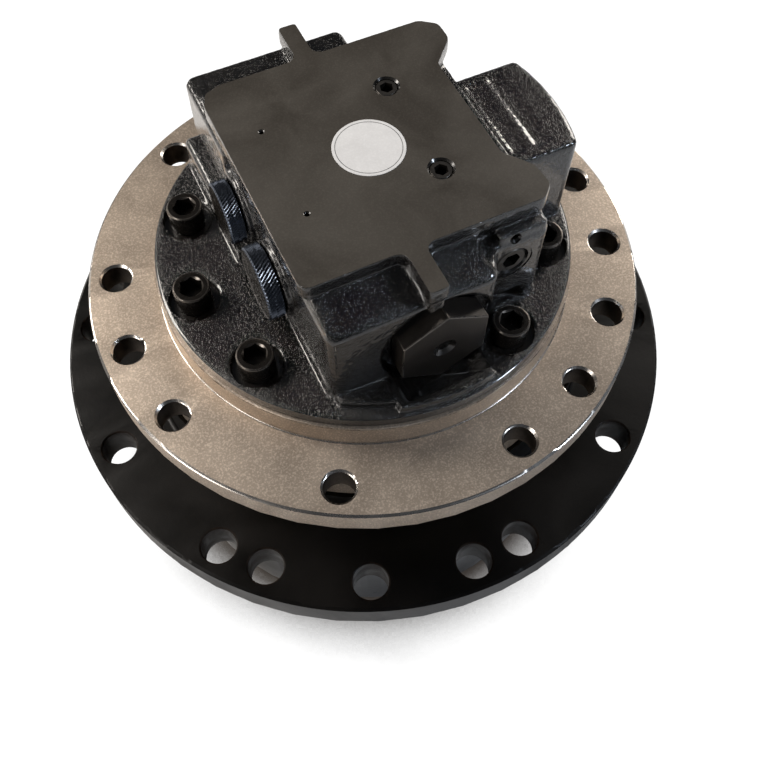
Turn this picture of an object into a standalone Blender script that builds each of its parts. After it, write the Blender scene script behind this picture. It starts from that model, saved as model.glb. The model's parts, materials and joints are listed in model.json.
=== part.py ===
# Excavator final drive: an axial piston motor inside a spindle, a two stage planetary
# reduction and a turning sprocket hub. Metres, +Z up, standing on its end cover.
import math

import bmesh
import bpy
from mathutils import Matrix, Vector

# Clearance between pieces that touch, and how finely round pieces are divided
GAP = 0.0003
RUNNING_GAP = 0.0006
BIG_STEPS = 48
MIDDLE_STEPS = 24
SMALL_STEPS = 14
SHAFT_STEPS = 12
HOLE_SIDES = 12
PISTON_SIDES = 8

# Frame flange and pilot of the spindle
FRAME_RADIUS = 0.140
FRAME_THICKNESS = 0.015
PILOT_RADIUS = 0.104
PILOT_HEIGHT = 0.014
FRAME_HOLE_MARGIN = 0.014
FRAME_HOLE_RADIUS = 0.0075
FRAME_HOLE_STEP = 20
FRAME_HOLES_LEFT_OUT = (100, 140, 220, 260)

# Sprocket flange, neck and drum of the hub
SPROCKET_RADIUS = 0.166
SPROCKET_THICKNESS = 0.020
FACE_TO_FACE = 0.059
SPROCKET_HOLE_MARGIN = 0.0147
SPROCKET_HOLE_RADIUS = 0.009
TWELVE_HOLE_START = 6.1
NINE_HOLE_START = 66.1
NECK_WALL = 0.008
DRUM_RADIUS = 0.126
EDGE_CHAMFER = 0.0012

# End cover and its bolts
COVER_BOSS_RADIUS = 0.102
COVER_BOSS_HEIGHT = 0.010
COVER_RIM_THICKNESS = 0.010
COVER_SPIGOT_HEIGHT = 0.004
COVER_BOLT_MARGIN = 0.0105
COVER_BOLT_COUNT = 8
COVER_BOLT_RADIUS = 0.005
COVER_BOLT_LENGTH = 0.024
COVER_BOLT_HEAD_RADIUS = 0.008
COVER_BOLT_HEAD_HEIGHT = 0.009
OIL_PLUG_RADIUS = 0.011
OIL_PLUG_CIRCLE = 0.070
OIL_PLUG_DEPTH = 0.014

# Gears, both stages alike but for their width
MODULE = 0.0042
RING_TEETH = 50
SUN_TEETH = 10
PLANET_TEETH = 20
PRESSURE_ANGLE = math.radians(20)
TOOTH_TIP = 0.90
TOOTH_ROOT = 1.20
TOOTH_SLACK = 0.0005
PLANET_ANGLES = (0, 120, 240)
STAGE_ONE_WIDTH = 0.020
STAGE_TWO_WIDTH = 0.024
STAGE_SPACE = 0.002
PIN_ONE_RADIUS = 0.010
PIN_TWO_RADIUS = 0.012
PIN_HEAD_HEIGHT = 0.002
PIN_HEAD_LIP = 0.005
CARRIER_ONE_RADIUS = 0.080
CARRIER_ONE_THICKNESS = 0.0065
CARRIER_TWO_RADIUS = 0.090
CARRIER_TWO_THICKNESS = 0.0067
SUN_NECK_RADIUS = 0.015

# Main bearings
BEARING_BORE_RADIUS = 0.080
BEARING_WIDTH = 0.022
BEARING_RIB = 0.004
BEARING_RIB_HEIGHT = 0.005
BALL_RADIUS = 0.0058
BALL_COUNT = 12
BALL_SEAT_DEPTH = 0.0022
CAGE_THICKNESS = 0.0015
CAGE_WIDTH = 0.012
NUT_HEIGHT = 0.0077
NUT_RADIUS = 0.092

# Floating face seal between spindle and hub
SEAL_SPACE = 0.0225
SEAL_SEAT_RADIUS = 0.112
SEAL_CUSHION_SPACE = 0.009
SEAL_RING_WIDTH = 0.010
SEAL_SKIRT_WALL = 0.006
SEAL_RING_HEIGHT = 0.0095

# Motor inside the spindle
CAVITY_RADIUS = 0.060
CAVITY_LOWER_RADIUS = 0.057
SPINDLE_FLOOR = 0.010
SHAFT_RADIUS = 0.010
SHAFT_SPLINE_RADIUS = 0.013
SHAFT_BEARING_RADIUS = 0.020
BLOCK_RADIUS = 0.040
BLOCK_LENGTH = 0.042
PISTON_COUNT = 9
PISTON_CIRCLE = 0.027
PISTON_RADIUS = 0.0062
PISTON_REACH = 0.030
SHOE_RADIUS = 0.0082
SHOE_HEIGHT = 0.003
RETAINER_RADIUS = 0.037
RETAINER_THICKNESS = 0.003
SWASH_RADIUS = 0.046
SWASH_ANGLE = math.radians(14)
SWASH_BACK_ANGLE = math.radians(6)
SWASH_THICKNESS = 0.014
SWASH_BORE_RADIUS = 0.018
SHOE_CLEARANCE = 0.0012
SPEED_PISTON_RADIUS = 0.006
SPEED_PISTON_ARM = 0.035
SPEED_PISTON_LENGTH = 0.007
VALVE_PLATE_THICKNESS = 0.004
VALVE_PLATE_RADIUS = 0.038
KIDNEY_CIRCLE = 0.027
KIDNEY_WIDTH = 0.008
LAND_DEPTH = 0.0006
LAND_RADIUS = 0.041
SPIGOT_DEPTH = 0.010
PLATE_THICKNESS = 0.003
FRICTION_THICKNESS = 0.002
FRICTION_RADIUS = 0.054
SEPARATOR_BORE = 0.044
BRAKE_BORE = 0.043
BRAKE_PISTON_HEIGHT = 0.0157

# Rear cover casting
DISC_RADIUS = 0.1025
DISC_THICKNESS = 0.0067
SCREW_CIRCLE = 0.0884
SCREW_ANGLES = (180, 148.2, 211.8, 64.8, 295.2, 29.5, 330.5)
SCREW_RADIUS = 0.006
SCREW_HEAD_RADIUS = 0.0087
SCREW_HEAD_HEIGHT = 0.012
SCREW_LENGTH = 0.024
SCREW_SOCKET = 0.010
SCREW_CHAMFER = 0.0008
POCKET_RADIUS = 0.0122
POCKET_DEPTH = 0.003
POCKET_HEIGHT = 0.025
BODY_LEFT = -0.052
BODY_STEP = 0.026
BODY_RIGHT = 0.060
BODY_HALF = 0.079
BODY_SIDE_HALF = 0.066
BODY_TOP = 0.070
SHOULDER_TOP = 0.0765
CROWN_HALF = 0.062
BACK_SHOULDER_TOP = 0.0742
BACK_SHOULDER_LOW = 0.042
BACK_SHOULDER_END = 0.082
BACK_SHOULDER_LEFT = -0.055
APRON_TOP = 0.0248
APRON_LEFT = -0.050
APRON_STEP = -0.027
APRON_RIGHT = 0.020
APRON_RADII = (0.0965, 0.1005)
BOSS_LEFT = 0.034
BOSS_RIGHT = 0.058
BOSS_FACE = -0.0652
BOSS_TOP = 0.0745
ARCH_RADIUS = 0.0205
ARCH_TOP = 0.032
ARCH_LEFT = 0.0275
CROWN_INSET = 0.003
PLATE_TOP = 0.084
PLATE_SINK = 0.0012
PLATE_LEFT = -0.0545
PLATE_HALF = 0.060
PLATE_WAIST = 0.053
PLATE_WAIST_HALF = 0.030
PLATE_EAR = 0.0655
RIB_REACH = 0.083
RIB_HALF_WIDTH = 0.0046
RIB_DEPTH = 0.020
RIB_FRONT_X = -0.0042
RIB_BACK_X = -0.0008
HUMP_TOP = 0.071
HUMP_HALF = 0.0295
HUMP_REACH = 0.100
PANEL_DEPTH = 0.001
PANEL_WIDTH = 0.008
PANEL_HALF = 0.024
PANEL_START = 0.0645
PANEL_PITCH = 0.0115
LEDGE_LEFT = -0.0615
LEDGE_TOP = 0.038
LEDGE_START = 0.008
LEDGE_END = 0.082

# Valve, ports and plugs in the rear cover
SPOOL_HEIGHT = 0.040
SPOOL_RADIUS = 0.0105
SPOOL_LENGTH = 0.090
SPOOL_GROOVE = 0.003
CAP_THREAD_RADIUS = 0.016
CAP_THREAD_LENGTH = 0.014
CAP_ACROSS_FLATS = 0.041
CAP_RECESS_RADIUS = 0.0275
CAP_RECESS_DEPTH = 0.006
CAP_RECESS_FLOOR = 0.016
CAP_TROUGHS = (0.0155, 0.010)
CAP_PROUD = 0.006
PORT_HEIGHT = 0.045
PORT_SPREAD = 0.022
PORT_RADIUS = 0.0131
PORT_DEPTH = 0.020
PORT_BOSS_RADIUS = 0.0185
PORT_BOSS_REACH = 0.003
PORT_CAP_RADII = (0.0175, 0.0150)
PORT_CAP_HEIGHT = 0.008
PORT_CAP_RIBS = 20
TOP_PLUG_X = 0.0250
TOP_PLUG_Y = 0.0270
TOP_PLUG_RADIUS = 0.0052
TOP_PLUG_DEPTH = 0.010
TOP_PLUG_SUNK = 0.0008
PILOT_PLUG_X = 0.042
PILOT_PLUG_HEIGHT = 0.055
PILOT_PLUG_RADIUS = 0.0072
PLUG_SOCKET_SHARE = 0.55
GAUGE_HOLE_RADIUS = 0.0019
GAUGE_HOLE_HEIGHT = 0.0708
GAUGE_HOLE_DEPTH = 0.004

# Heights that follow from the sizes above, from the foot upwards
cover_top = COVER_BOSS_HEIGHT + COVER_RIM_THICKNESS
drum_foot = cover_top + GAP
spigot_top = cover_top + COVER_SPIGOT_HEIGHT
stage_one_low = spigot_top + PIN_HEAD_HEIGHT + STAGE_SPACE
stage_one_high = stage_one_low + STAGE_ONE_WIDTH
carrier_one_low = stage_one_high + STAGE_SPACE
carrier_one_high = carrier_one_low + CARRIER_ONE_THICKNESS
stage_two_low = carrier_one_high + PIN_HEAD_HEIGHT + STAGE_SPACE - 2 * GAP
stage_two_high = stage_two_low + STAGE_TWO_WIDTH
carrier_two_low = stage_two_high + STAGE_SPACE / 2
carrier_two_high = carrier_two_low + CARRIER_TWO_THICKNESS
spindle_foot = carrier_two_high + GAP
cavity_floor = spindle_foot + SPINDLE_FLOOR
nut_low = spindle_foot + 0.002
bearing_low = nut_low + NUT_HEIGHT + GAP
bearing_middle = bearing_low + BEARING_WIDTH
bearing_high = bearing_middle + 2 * GAP + BEARING_RIB
bearing_top = bearing_high + BEARING_WIDTH
flange_low = bearing_top + SEAL_SPACE
frame_face = flange_low + FRAME_THICKNESS
pilot_top = frame_face + PILOT_HEIGHT
sprocket_top = frame_face - FACE_TO_FACE
sprocket_low = sprocket_top - SPROCKET_THICKNESS
seal_face = bearing_top + SEAL_RING_HEIGHT + 3 * GAP
disc_low = pilot_top + GAP
disc_top = disc_low + DISC_THICKNESS
valve_plate_top = frame_face + LAND_DEPTH - GAP
valve_plate_low = valve_plate_top - VALVE_PLATE_THICKNESS
block_top = valve_plate_low - GAP
block_low = block_top - BLOCK_LENGTH

# Radii that follow
neck_radius = SEAL_SEAT_RADIUS + NECK_WALL
seal_skirt = SEAL_SEAT_RADIUS + SEAL_SKIRT_WALL
seal_ring_outer = SEAL_SEAT_RADIUS - SEAL_CUSHION_SPACE
seal_ring_inner = seal_ring_outer - SEAL_RING_WIDTH
frame_bolt_circle = FRAME_RADIUS - FRAME_HOLE_MARGIN
sprocket_bolt_circle = SPROCKET_RADIUS - SPROCKET_HOLE_MARGIN
cover_bolt_circle = DRUM_RADIUS - COVER_BOLT_MARGIN
ring_pitch = MODULE * RING_TEETH / 2
ring_tip = ring_pitch - TOOTH_TIP * MODULE
ring_root = ring_pitch + TOOTH_ROOT * MODULE
planet_offset = MODULE * (SUN_TEETH + PLANET_TEETH) / 2
bearing_outer = ring_tip - GAP
ball_circle = (BEARING_BORE_RADIUS + bearing_outer) / 2


def clear_scene():
    for obj in list(bpy.data.objects):
        bpy.data.objects.remove(obj, do_unlink=True)


def new_collection(name):
    collection = bpy.data.collections.new(name)
    bpy.context.scene.collection.children.link(collection)
    return collection


def finish(name, colour, metallic, roughness):
    material = bpy.data.materials.new(name)
    material.use_nodes = True
    shader = material.node_tree.nodes["Principled BSDF"]
    shader.inputs["Base Color"].default_value = (*colour, 1)
    shader.inputs["Metallic"].default_value = metallic
    shader.inputs["Roughness"].default_value = roughness
    return material


clear_scene()
parts = new_collection("excavator_final_drive")
cutters = new_collection("cutters")
black_paint = finish("black_paint", (0.012, 0.012, 0.013), 0.0, 0.22)
cover_paint = finish("cover_paint", (0.020, 0.020, 0.019), 0.0, 0.30)
machined = finish("machined_steel", (0.62, 0.58, 0.53), 1.0, 0.38)
steel = finish("ground_steel", (0.55, 0.55, 0.56), 1.0, 0.30)
gear_steel = finish("gear_steel", (0.34, 0.33, 0.32), 1.0, 0.42)
dark_screw = finish("blackened_screw", (0.030, 0.028, 0.027), 0.8, 0.40)
plug_blue = finish("plug_blue", (0.16, 0.22, 0.30), 0.6, 0.35)
bronze = finish("bronze", (0.55, 0.36, 0.16), 1.0, 0.38)
friction = finish("friction_lining", (0.16, 0.11, 0.08), 0.0, 0.80)
rubber = finish("rubber", (0.015, 0.015, 0.015), 0.0, 0.75)


def link(name, mesh, material=None):
    obj = bpy.data.objects.new(name, mesh)
    parts.objects.link(obj)
    if material:
        mesh.materials.append(material)
    return obj


def as_helper(obj):
    """Moves an object to the cutters, which no render shows."""
    parts.objects.unlink(obj)
    cutters.objects.link(obj)
    obj.hide_render = True
    obj.display_type = "WIRE"


def combine(obj, other, operation):
    as_helper(other)
    modifier = obj.modifiers.new(other.name, "BOOLEAN")
    modifier.operation = operation
    modifier.object = other


def cut(obj, other):
    combine(obj, other, "DIFFERENCE")


def join(obj, other):
    combine(obj, other, "UNION")


def bevel(obj, width, segments=1, angle=35):
    modifier = obj.modifiers.new("rounded_edges", "BEVEL")
    modifier.width = width
    modifier.segments = segments
    modifier.limit_method = "ANGLE"
    modifier.angle_limit = math.radians(angle)


def turned(name, profile, material=None, steps=BIG_STEPS):
    """A solid of revolution about Z. The profile runs down its outer side, as (radius, height)."""
    mesh = bpy.data.meshes.new(name)
    last = len(profile) - 1
    edges = [(i, i + 1) for i in range(last)]
    on_axis = profile[0][0] == 0 and profile[last][0] == 0
    if not on_axis:
        edges.append((last, 0))
    mesh.from_pydata([(radius, 0, height) for radius, height in profile], edges, [])
    obj = link(name, mesh, material)
    screw = obj.modifiers.new("turn", "SCREW")
    screw.steps = steps
    screw.render_steps = steps
    screw.use_merge_vertices = True
    screw.merge_threshold = 0.00001
    screw.use_smooth_shade = False
    return obj


def ring(name, inner, outer, low, high, material=None, steps=MIDDLE_STEPS):
    return turned(name, [(outer, high), (outer, low), (inner, low), (inner, high)], material, steps)


def cylinders(name, radius, low, high, places, sides=HOLE_SIDES, turn=None):
    """Upright cylinders at several (x, y) places in one mesh, turned as a whole by a matrix."""
    mesh = bmesh.new()
    for x, y in places:
        spot = Matrix.Translation((x, y, (low + high) / 2))
        bmesh.ops.create_cone(mesh, cap_ends=True, segments=sides, radius1=radius,
                              radius2=radius, depth=high - low, matrix=spot)
    if turn:
        bmesh.ops.transform(mesh, matrix=turn, verts=mesh.verts)
    data = bpy.data.meshes.new(name)
    mesh.to_mesh(data)
    mesh.free()
    return link(name, data)


def block(name, low, high, material=None):
    """A box between two corners."""
    low, high = Vector(low), Vector(high)
    mesh = bmesh.new()
    bmesh.ops.create_cube(mesh, size=1)
    bmesh.ops.scale(mesh, vec=high - low, verts=mesh.verts)
    bmesh.ops.translate(mesh, vec=(low + high) / 2, verts=mesh.verts)
    data = bpy.data.meshes.new(name)
    mesh.to_mesh(data)
    mesh.free()
    return link(name, data, material)


def extruded(name, loops, low, high, material=None):
    """Closed outlines in XY, the inner ones as holes, filled and drawn out along Z."""
    curve = bpy.data.curves.new(name, "CURVE")
    curve.dimensions = "2D"
    curve.fill_mode = "BOTH"
    curve.extrude = (high - low) / 2
    for loop in loops:
        spline = curve.splines.new("POLY")
        spline.points.add(len(loop) - 1)
        for point, (x, y) in zip(spline.points, loop):
            point.co = (x, y, 0, 1)
        spline.use_cyclic_u = True
    guide = bpy.data.objects.new(name + "_outline", curve)
    bpy.context.scene.collection.objects.link(guide)
    bpy.context.view_layer.update()
    graph = bpy.context.evaluated_depsgraph_get()
    data = bpy.data.meshes.new_from_object(guide.evaluated_get(graph))
    bpy.data.objects.remove(guide, do_unlink=True)
    mesh = bmesh.new()
    mesh.from_mesh(data)
    bmesh.ops.remove_doubles(mesh, verts=mesh.verts, dist=0.000005)
    bmesh.ops.dissolve_limit(mesh, angle_limit=0.001, verts=mesh.verts, edges=mesh.edges)
    bmesh.ops.recalc_face_normals(mesh, faces=mesh.faces)
    bmesh.ops.translate(mesh, vec=(0, 0, (low + high) / 2), verts=mesh.verts)
    mesh.to_mesh(data)
    mesh.free()
    data.name = name
    return link(name, data, material)


def turn_mesh(obj, matrix):
    obj.data.transform(matrix)
    return obj


def polar(radius, degrees):
    angle = math.radians(degrees)
    return radius * math.cos(angle), radius * math.sin(angle)


def circle(radius, sides=MIDDLE_STEPS, centre=(0, 0), start=0):
    points = [polar(radius, start + 360 * k / sides) for k in range(sides)]
    return [(centre[0] + x, centre[1] + y) for x, y in points]


def hexagon(across_flats, start=30):
    return circle(across_flats / 2 / math.cos(math.radians(30)), 6, start=start)


def rounded(corners, steps=3):
    """An outline of straight sides whose corners, given as (x, y, radius), are arcs."""
    outline = []
    for index, (x, y, radius) in enumerate(corners):
        here = Vector((x, y))
        before = Vector(corners[index - 1][:2]) - here
        after = Vector(corners[(index + 1) % len(corners)][:2]) - here
        before.normalize()
        after.normalize()
        if radius == 0:
            outline.append((x, y))
            continue
        half = before.angle(after) / 2
        middle = here + (before + after).normalized() * radius / math.sin(half)
        first = here + before * radius / math.tan(half) - middle
        last = here + after * radius / math.tan(half) - middle
        for step in range(steps + 1):
            spoke = first.lerp(last, step / steps).normalized() * radius
            outline.append(tuple(middle + spoke))
    return outline


# Gears


def involute(angle):
    return math.tan(angle) - angle


def tooth_half_angle(radius, teeth, slack):
    """Half the angle that a tooth covers at a radius, thinner by the slack at the pitch circle."""
    pitch = MODULE * teeth / 2
    base = pitch * math.cos(PRESSURE_ANGLE)
    flank = math.acos(min(1, base / max(radius, base)))
    return math.pi / (2 * teeth) - slack / (2 * pitch) + involute(PRESSURE_ANGLE) - involute(flank)


def gear_outline(teeth, start):
    """An outer gear, with a tooth centred at the start angle in degrees."""
    pitch = MODULE * teeth / 2
    root, tip = pitch - TOOTH_ROOT * MODULE, pitch + TOOTH_TIP * MODULE
    outline = []
    for tooth in range(teeth):
        middle = math.radians(start) + 2 * math.pi * tooth / teeth
        for radius, side in ((root, -1), (tip, -1), (tip, 1), (root, 1)):
            angle = middle + side * tooth_half_angle(radius, teeth, TOOTH_SLACK)
            outline.append((radius * math.cos(angle), radius * math.sin(angle)))
    return outline


def ring_space_outline(inner):
    """The cutter for the ring gear: a lobe for each space, rising from inside the bore."""
    outline = []
    for tooth in range(RING_TEETH):
        middle = 2 * math.pi * tooth / RING_TEETH
        for radius, side in ((inner, -1), (ring_root, -1), (ring_root, 1), (inner, 1)):
            angle = middle + side * tooth_half_angle(max(radius, ring_tip), RING_TEETH, -TOOTH_SLACK)
            outline.append((radius * math.cos(angle), radius * math.sin(angle)))
    return outline


def planet(name, angle, low, high, pin_radius):
    """A planet gear as it stands after its carrier has rolled it round the ring by an angle."""
    start = angle * (1 - RING_TEETH / PLANET_TEETH)
    loops = [gear_outline(PLANET_TEETH, start), circle(pin_radius + RUNNING_GAP, SHAFT_STEPS)]
    gear = extruded(name, loops, 0, high - low, gear_steel)
    gear.location = (*polar(planet_offset, angle), low)
    return gear


def planets():
    for number, angle in enumerate(PLANET_ANGLES, 1):
        planet(f"planet_gear_one_{number}", angle, stage_one_low, stage_one_high, PIN_ONE_RADIUS)
        planet(f"planet_gear_two_{number}", angle, stage_two_low, stage_two_high, PIN_TWO_RADIUS)


def carrier(name, plate, pin_radius, pin_low, bore, material):
    """A carrier plate between two heights, with headed planet pins hanging from it."""
    radius, low, high = plate
    body = ring(name, bore, radius, low, high, material)
    spots = [polar(planet_offset, angle) for angle in PLANET_ANGLES]
    shank_low = pin_low - PIN_HEAD_HEIGHT
    middle = (low + high) / 2
    pins = cylinders(name + "_pins", pin_radius, shank_low, middle, spots)
    heads = cylinders(name + "_heads", pin_radius + PIN_HEAD_LIP, shank_low, pin_low - GAP, spots)
    join(pins, heads)
    join(body, pins)
    return body


def carriers():
    plate_one = (CARRIER_ONE_RADIUS, carrier_one_low, carrier_one_high)
    carrier("planet_carrier_one", plate_one, PIN_ONE_RADIUS, stage_one_low,
            SUN_NECK_RADIUS + GAP, gear_steel)
    plate_two = (CARRIER_TWO_RADIUS, carrier_two_low, carrier_two_high)
    sun_tip = MODULE * (SUN_TEETH / 2 + TOOTH_TIP)
    carrier("planet_carrier_two", plate_two, PIN_TWO_RADIUS, stage_two_low, sun_tip + 0.002,
            gear_steel)


def suns():
    start = 180 / SUN_TEETH
    bore = circle(SHAFT_RADIUS + RUNNING_GAP, SHAFT_STEPS)
    sun = extruded("sun_gear_two", [gear_outline(SUN_TEETH, start), bore], stage_two_low,
                   stage_two_high, gear_steel)
    neck = extruded("sun_neck", [circle(SUN_NECK_RADIUS, SHAFT_STEPS), bore],
                    carrier_one_low, stage_two_low + 0.001)
    join(sun, neck)


def drive_shaft():
    """The shaft from the motor down through the hollow second sun, with the first sun on its end."""
    foot = stage_one_low - STAGE_SPACE / 2
    head = disc_low + 0.003
    profile = [(0, head), (SHAFT_RADIUS, head), (SHAFT_RADIUS, block_top),
               (SHAFT_SPLINE_RADIUS, block_top), (SHAFT_SPLINE_RADIUS, block_low),
               (SHAFT_RADIUS, block_low), (SHAFT_RADIUS, foot), (0, foot)]
    shaft = turned("drive_shaft", profile, steel, SHAFT_STEPS)
    sun = extruded("sun_one_teeth", [gear_outline(SUN_TEETH, 180 / SUN_TEETH)],
                   foot + 0.001, stage_one_high)
    join(shaft, sun)


# Hub with its end cover


def hub_housing():
    """Sprocket flange, neck and drum in one casting, with the ring gear cut in the drum's bore."""
    neck_top = seal_face - GAP
    rib_low = bearing_middle + GAP
    rib_high = bearing_high - GAP
    rib_radius = ring_tip - BEARING_RIB_HEIGHT
    seat_low = bearing_top
    rim = SPROCKET_RADIUS - EDGE_CHAMFER
    profile = [
        (SEAL_SEAT_RADIUS, neck_top), (neck_radius, neck_top), (neck_radius, sprocket_top),
        (rim, sprocket_top), (SPROCKET_RADIUS, sprocket_top - EDGE_CHAMFER),
        (SPROCKET_RADIUS, sprocket_low),
        (DRUM_RADIUS, sprocket_low), (DRUM_RADIUS, drum_foot), (ring_tip, drum_foot),
        (ring_tip, rib_low), (rib_radius, rib_low), (rib_radius, rib_high),
        (ring_tip, rib_high), (ring_tip, seat_low), (SEAL_SEAT_RADIUS, seat_low),
    ]
    hub = turned("hub_housing", profile, black_paint)
    spaces = extruded("ring_gear_spaces", [ring_space_outline(ring_tip - 0.002)],
                      drum_foot - 0.001, carrier_two_high - STAGE_SPACE)
    cut(hub, spaces)
    angles = {round(TWELVE_HOLE_START + 30 * k, 1) % 360 for k in range(12)}
    angles |= {round(NINE_HOLE_START + 40 * k, 1) % 360 for k in range(9)}
    spots = [polar(sprocket_bolt_circle, angle) for angle in sorted(angles)]
    cut(hub, cylinders("sprocket_holes", SPROCKET_HOLE_RADIUS, sprocket_low - 0.002,
                       sprocket_top + 0.002, spots))
    spots = [polar(cover_bolt_circle, 360 * k / COVER_BOLT_COUNT) for k in range(COVER_BOLT_COUNT)]
    depth = COVER_BOSS_HEIGHT + COVER_BOLT_LENGTH + 0.002
    cut(hub, cylinders("cover_bolt_holes", COVER_BOLT_RADIUS + GAP, drum_foot - 0.002, depth, spots))


def end_cover():
    """A domed disc with a raised standing face, a spigot in the drum and a pad under the shaft."""
    spigot = ring_tip - GAP
    pad_top = stage_one_low - STAGE_SPACE / 2 - GAP
    pad_radius = SHAFT_RADIUS + 0.004
    profile = [
        (0, pad_top), (pad_radius, pad_top), (pad_radius, spigot_top), (spigot, spigot_top),
        (spigot, cover_top), (DRUM_RADIUS, cover_top), (DRUM_RADIUS, COVER_BOSS_HEIGHT),
        (COVER_BOSS_RADIUS, COVER_BOSS_HEIGHT),
        (COVER_BOSS_RADIUS - 0.002, 0), (0, 0),
    ]
    cover = turned("end_cover", profile, black_paint)
    spots = [polar(cover_bolt_circle, 360 * k / COVER_BOLT_COUNT) for k in range(COVER_BOLT_COUNT)]
    cut(cover, cylinders("cover_through_holes", COVER_BOLT_RADIUS + GAP, COVER_BOSS_HEIGHT - 0.002,
                         cover_top + 0.002, spots))
    spots = [(0, -OIL_PLUG_CIRCLE), (0, OIL_PLUG_CIRCLE)]
    cut(cover, cylinders("oil_plug_holes", OIL_PLUG_RADIUS + GAP, -0.002, OIL_PLUG_DEPTH + GAP, spots))


def cap_screw(name, sizes, socket, material, steps, chamfer=0):
    """A socket head cap screw along Z: sizes are the head's radius and height, then the shank's."""
    head_radius, head_height, radius, length = sizes
    edge = [(head_radius, head_height)]
    if chamfer:
        edge = [(head_radius - chamfer, head_height), (head_radius, head_height - chamfer)]
    profile = [(0, head_height), *edge, (head_radius, 0), (radius, 0), (radius, -length), (0, -length)]
    screw = turned(name, profile, material, steps)
    recess = extruded(name + "_socket", [hexagon(socket)], head_height / 2, head_height + 0.002)
    cut(screw, recess)
    return screw, recess


def cover_bolts():
    sizes = (COVER_BOLT_HEAD_RADIUS, COVER_BOLT_HEAD_HEIGHT, COVER_BOLT_RADIUS, COVER_BOLT_LENGTH)
    for number in range(COVER_BOLT_COUNT):
        x, y = polar(cover_bolt_circle, 360 * number / COVER_BOLT_COUNT)
        bolt, recess = cap_screw(f"cover_bolt_{number + 1}", sizes, COVER_BOLT_RADIUS * 1.6,
                                 dark_screw, HOLE_SIDES)
        for obj in (bolt, recess):
            obj.location = (x, y, COVER_BOSS_HEIGHT - GAP)
            obj.rotation_euler = (math.pi, 0, 0)


def oil_plugs():
    """Fill and drain plugs, level with the standing face, with hexagon sockets."""
    for name, y in (("drain_plug", -OIL_PLUG_CIRCLE), ("fill_plug", OIL_PLUG_CIRCLE)):
        profile = [(0, OIL_PLUG_DEPTH), (OIL_PLUG_RADIUS, OIL_PLUG_DEPTH), (OIL_PLUG_RADIUS, 0.001),
                   (0, 0.001)]
        plug = turned(name, profile, steel, HOLE_SIDES)
        recess = extruded(name + "_socket", [hexagon(OIL_PLUG_RADIUS)], -0.002, OIL_PLUG_DEPTH / 2)
        cut(plug, recess)
        for obj in (plug, recess):
            obj.location = (0, y, 0)


# Spindle with its bearings and seal


def spindle():
    """Frame flange, pilot and bearing neck in one piece, hollow for the motor."""
    neck = BEARING_BORE_RADIUS - GAP
    shoulder = seal_ring_inner - 0.001
    step = block_top - 0.018
    edge = FRAME_RADIUS - EDGE_CHAMFER
    profile = [
        (CAVITY_RADIUS, pilot_top), (PILOT_RADIUS, pilot_top), (PILOT_RADIUS, frame_face),
        (edge, frame_face), (FRAME_RADIUS, frame_face - EDGE_CHAMFER), (FRAME_RADIUS, flange_low),
        (seal_skirt, flange_low), (seal_skirt, seal_face + GAP),
        (SEAL_SEAT_RADIUS, seal_face + GAP), (SEAL_SEAT_RADIUS, flange_low - GAP),
        (shoulder, flange_low - GAP), (shoulder, bearing_top + GAP), (neck, bearing_top + GAP),
        (neck, spindle_foot), (SHAFT_BEARING_RADIUS, spindle_foot),
        (SHAFT_BEARING_RADIUS, cavity_floor), (CAVITY_LOWER_RADIUS, cavity_floor),
        (CAVITY_LOWER_RADIUS, step), (CAVITY_RADIUS, step),
    ]
    body = turned("spindle", profile, machined)
    angles = [k * FRAME_HOLE_STEP for k in range(360 // FRAME_HOLE_STEP)]
    spots = [polar(frame_bolt_circle, angle) for angle in angles if angle not in FRAME_HOLES_LEFT_OUT]
    cut(body, cylinders("frame_holes", FRAME_HOLE_RADIUS, flange_low - 0.002, frame_face + 0.002,
                        spots))
    spots = [polar(SCREW_CIRCLE, angle) for angle in SCREW_ANGLES]
    depth = disc_top - POCKET_DEPTH - SCREW_LENGTH - 0.001
    cut(body, cylinders("screw_holes", SCREW_RADIUS + GAP, depth, pilot_top + 0.002, spots))
    cut(body, cylinders("speed_piston_bore", SPEED_PISTON_RADIUS + GAP,
                        cavity_floor - SPEED_PISTON_LENGTH - GAP, cavity_floor + 0.002,
                        [(0, SPEED_PISTON_ARM)]))


def bearing(level, low):
    """One ball bearing: two rings and the caged balls between them."""
    high = low + BEARING_WIDTH
    middle = (low + high) / 2
    inner_land = ball_circle - BALL_RADIUS + BALL_SEAT_DEPTH
    outer_land = ball_circle + BALL_RADIUS - BALL_SEAT_DEPTH
    inner_floor = ball_circle - BALL_RADIUS - GAP
    outer_floor = ball_circle + BALL_RADIUS + 4 * GAP
    profile = [(inner_land, high), (inner_floor, middle), (inner_land, low),
               (BEARING_BORE_RADIUS, low), (BEARING_BORE_RADIUS, high)]
    turned(f"bearing_inner_{level}", profile, steel)
    profile = [(bearing_outer, high), (bearing_outer, low), (outer_land, low),
               (outer_floor, middle), (outer_land, high)]
    turned(f"bearing_outer_{level}", profile, steel, MIDDLE_STEPS)
    half = CAGE_THICKNESS / 2
    cage = ring(f"ball_cage_{level}", ball_circle - half, ball_circle + half,
                middle - CAGE_WIDTH / 2, middle + CAGE_WIDTH / 2, steel, BALL_COUNT * 2)
    mesh = bmesh.new()
    for ball in range(BALL_COUNT):
        x, y = polar(ball_circle, 360 * ball / BALL_COUNT + 3)
        bmesh.ops.create_icosphere(mesh, subdivisions=1, radius=BALL_RADIUS - GAP,
                                   matrix=Matrix.Translation((x, y, middle)))
    data = bpy.data.meshes.new(f"balls_{level}")
    mesh.to_mesh(data)
    mesh.free()
    join(cage, link(f"balls_{level}", data))


def bearing_nut():
    ring("bearing_nut", BEARING_BORE_RADIUS, NUT_RADIUS, nut_low, nut_low + NUT_HEIGHT, gear_steel,
         BIG_STEPS)


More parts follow.
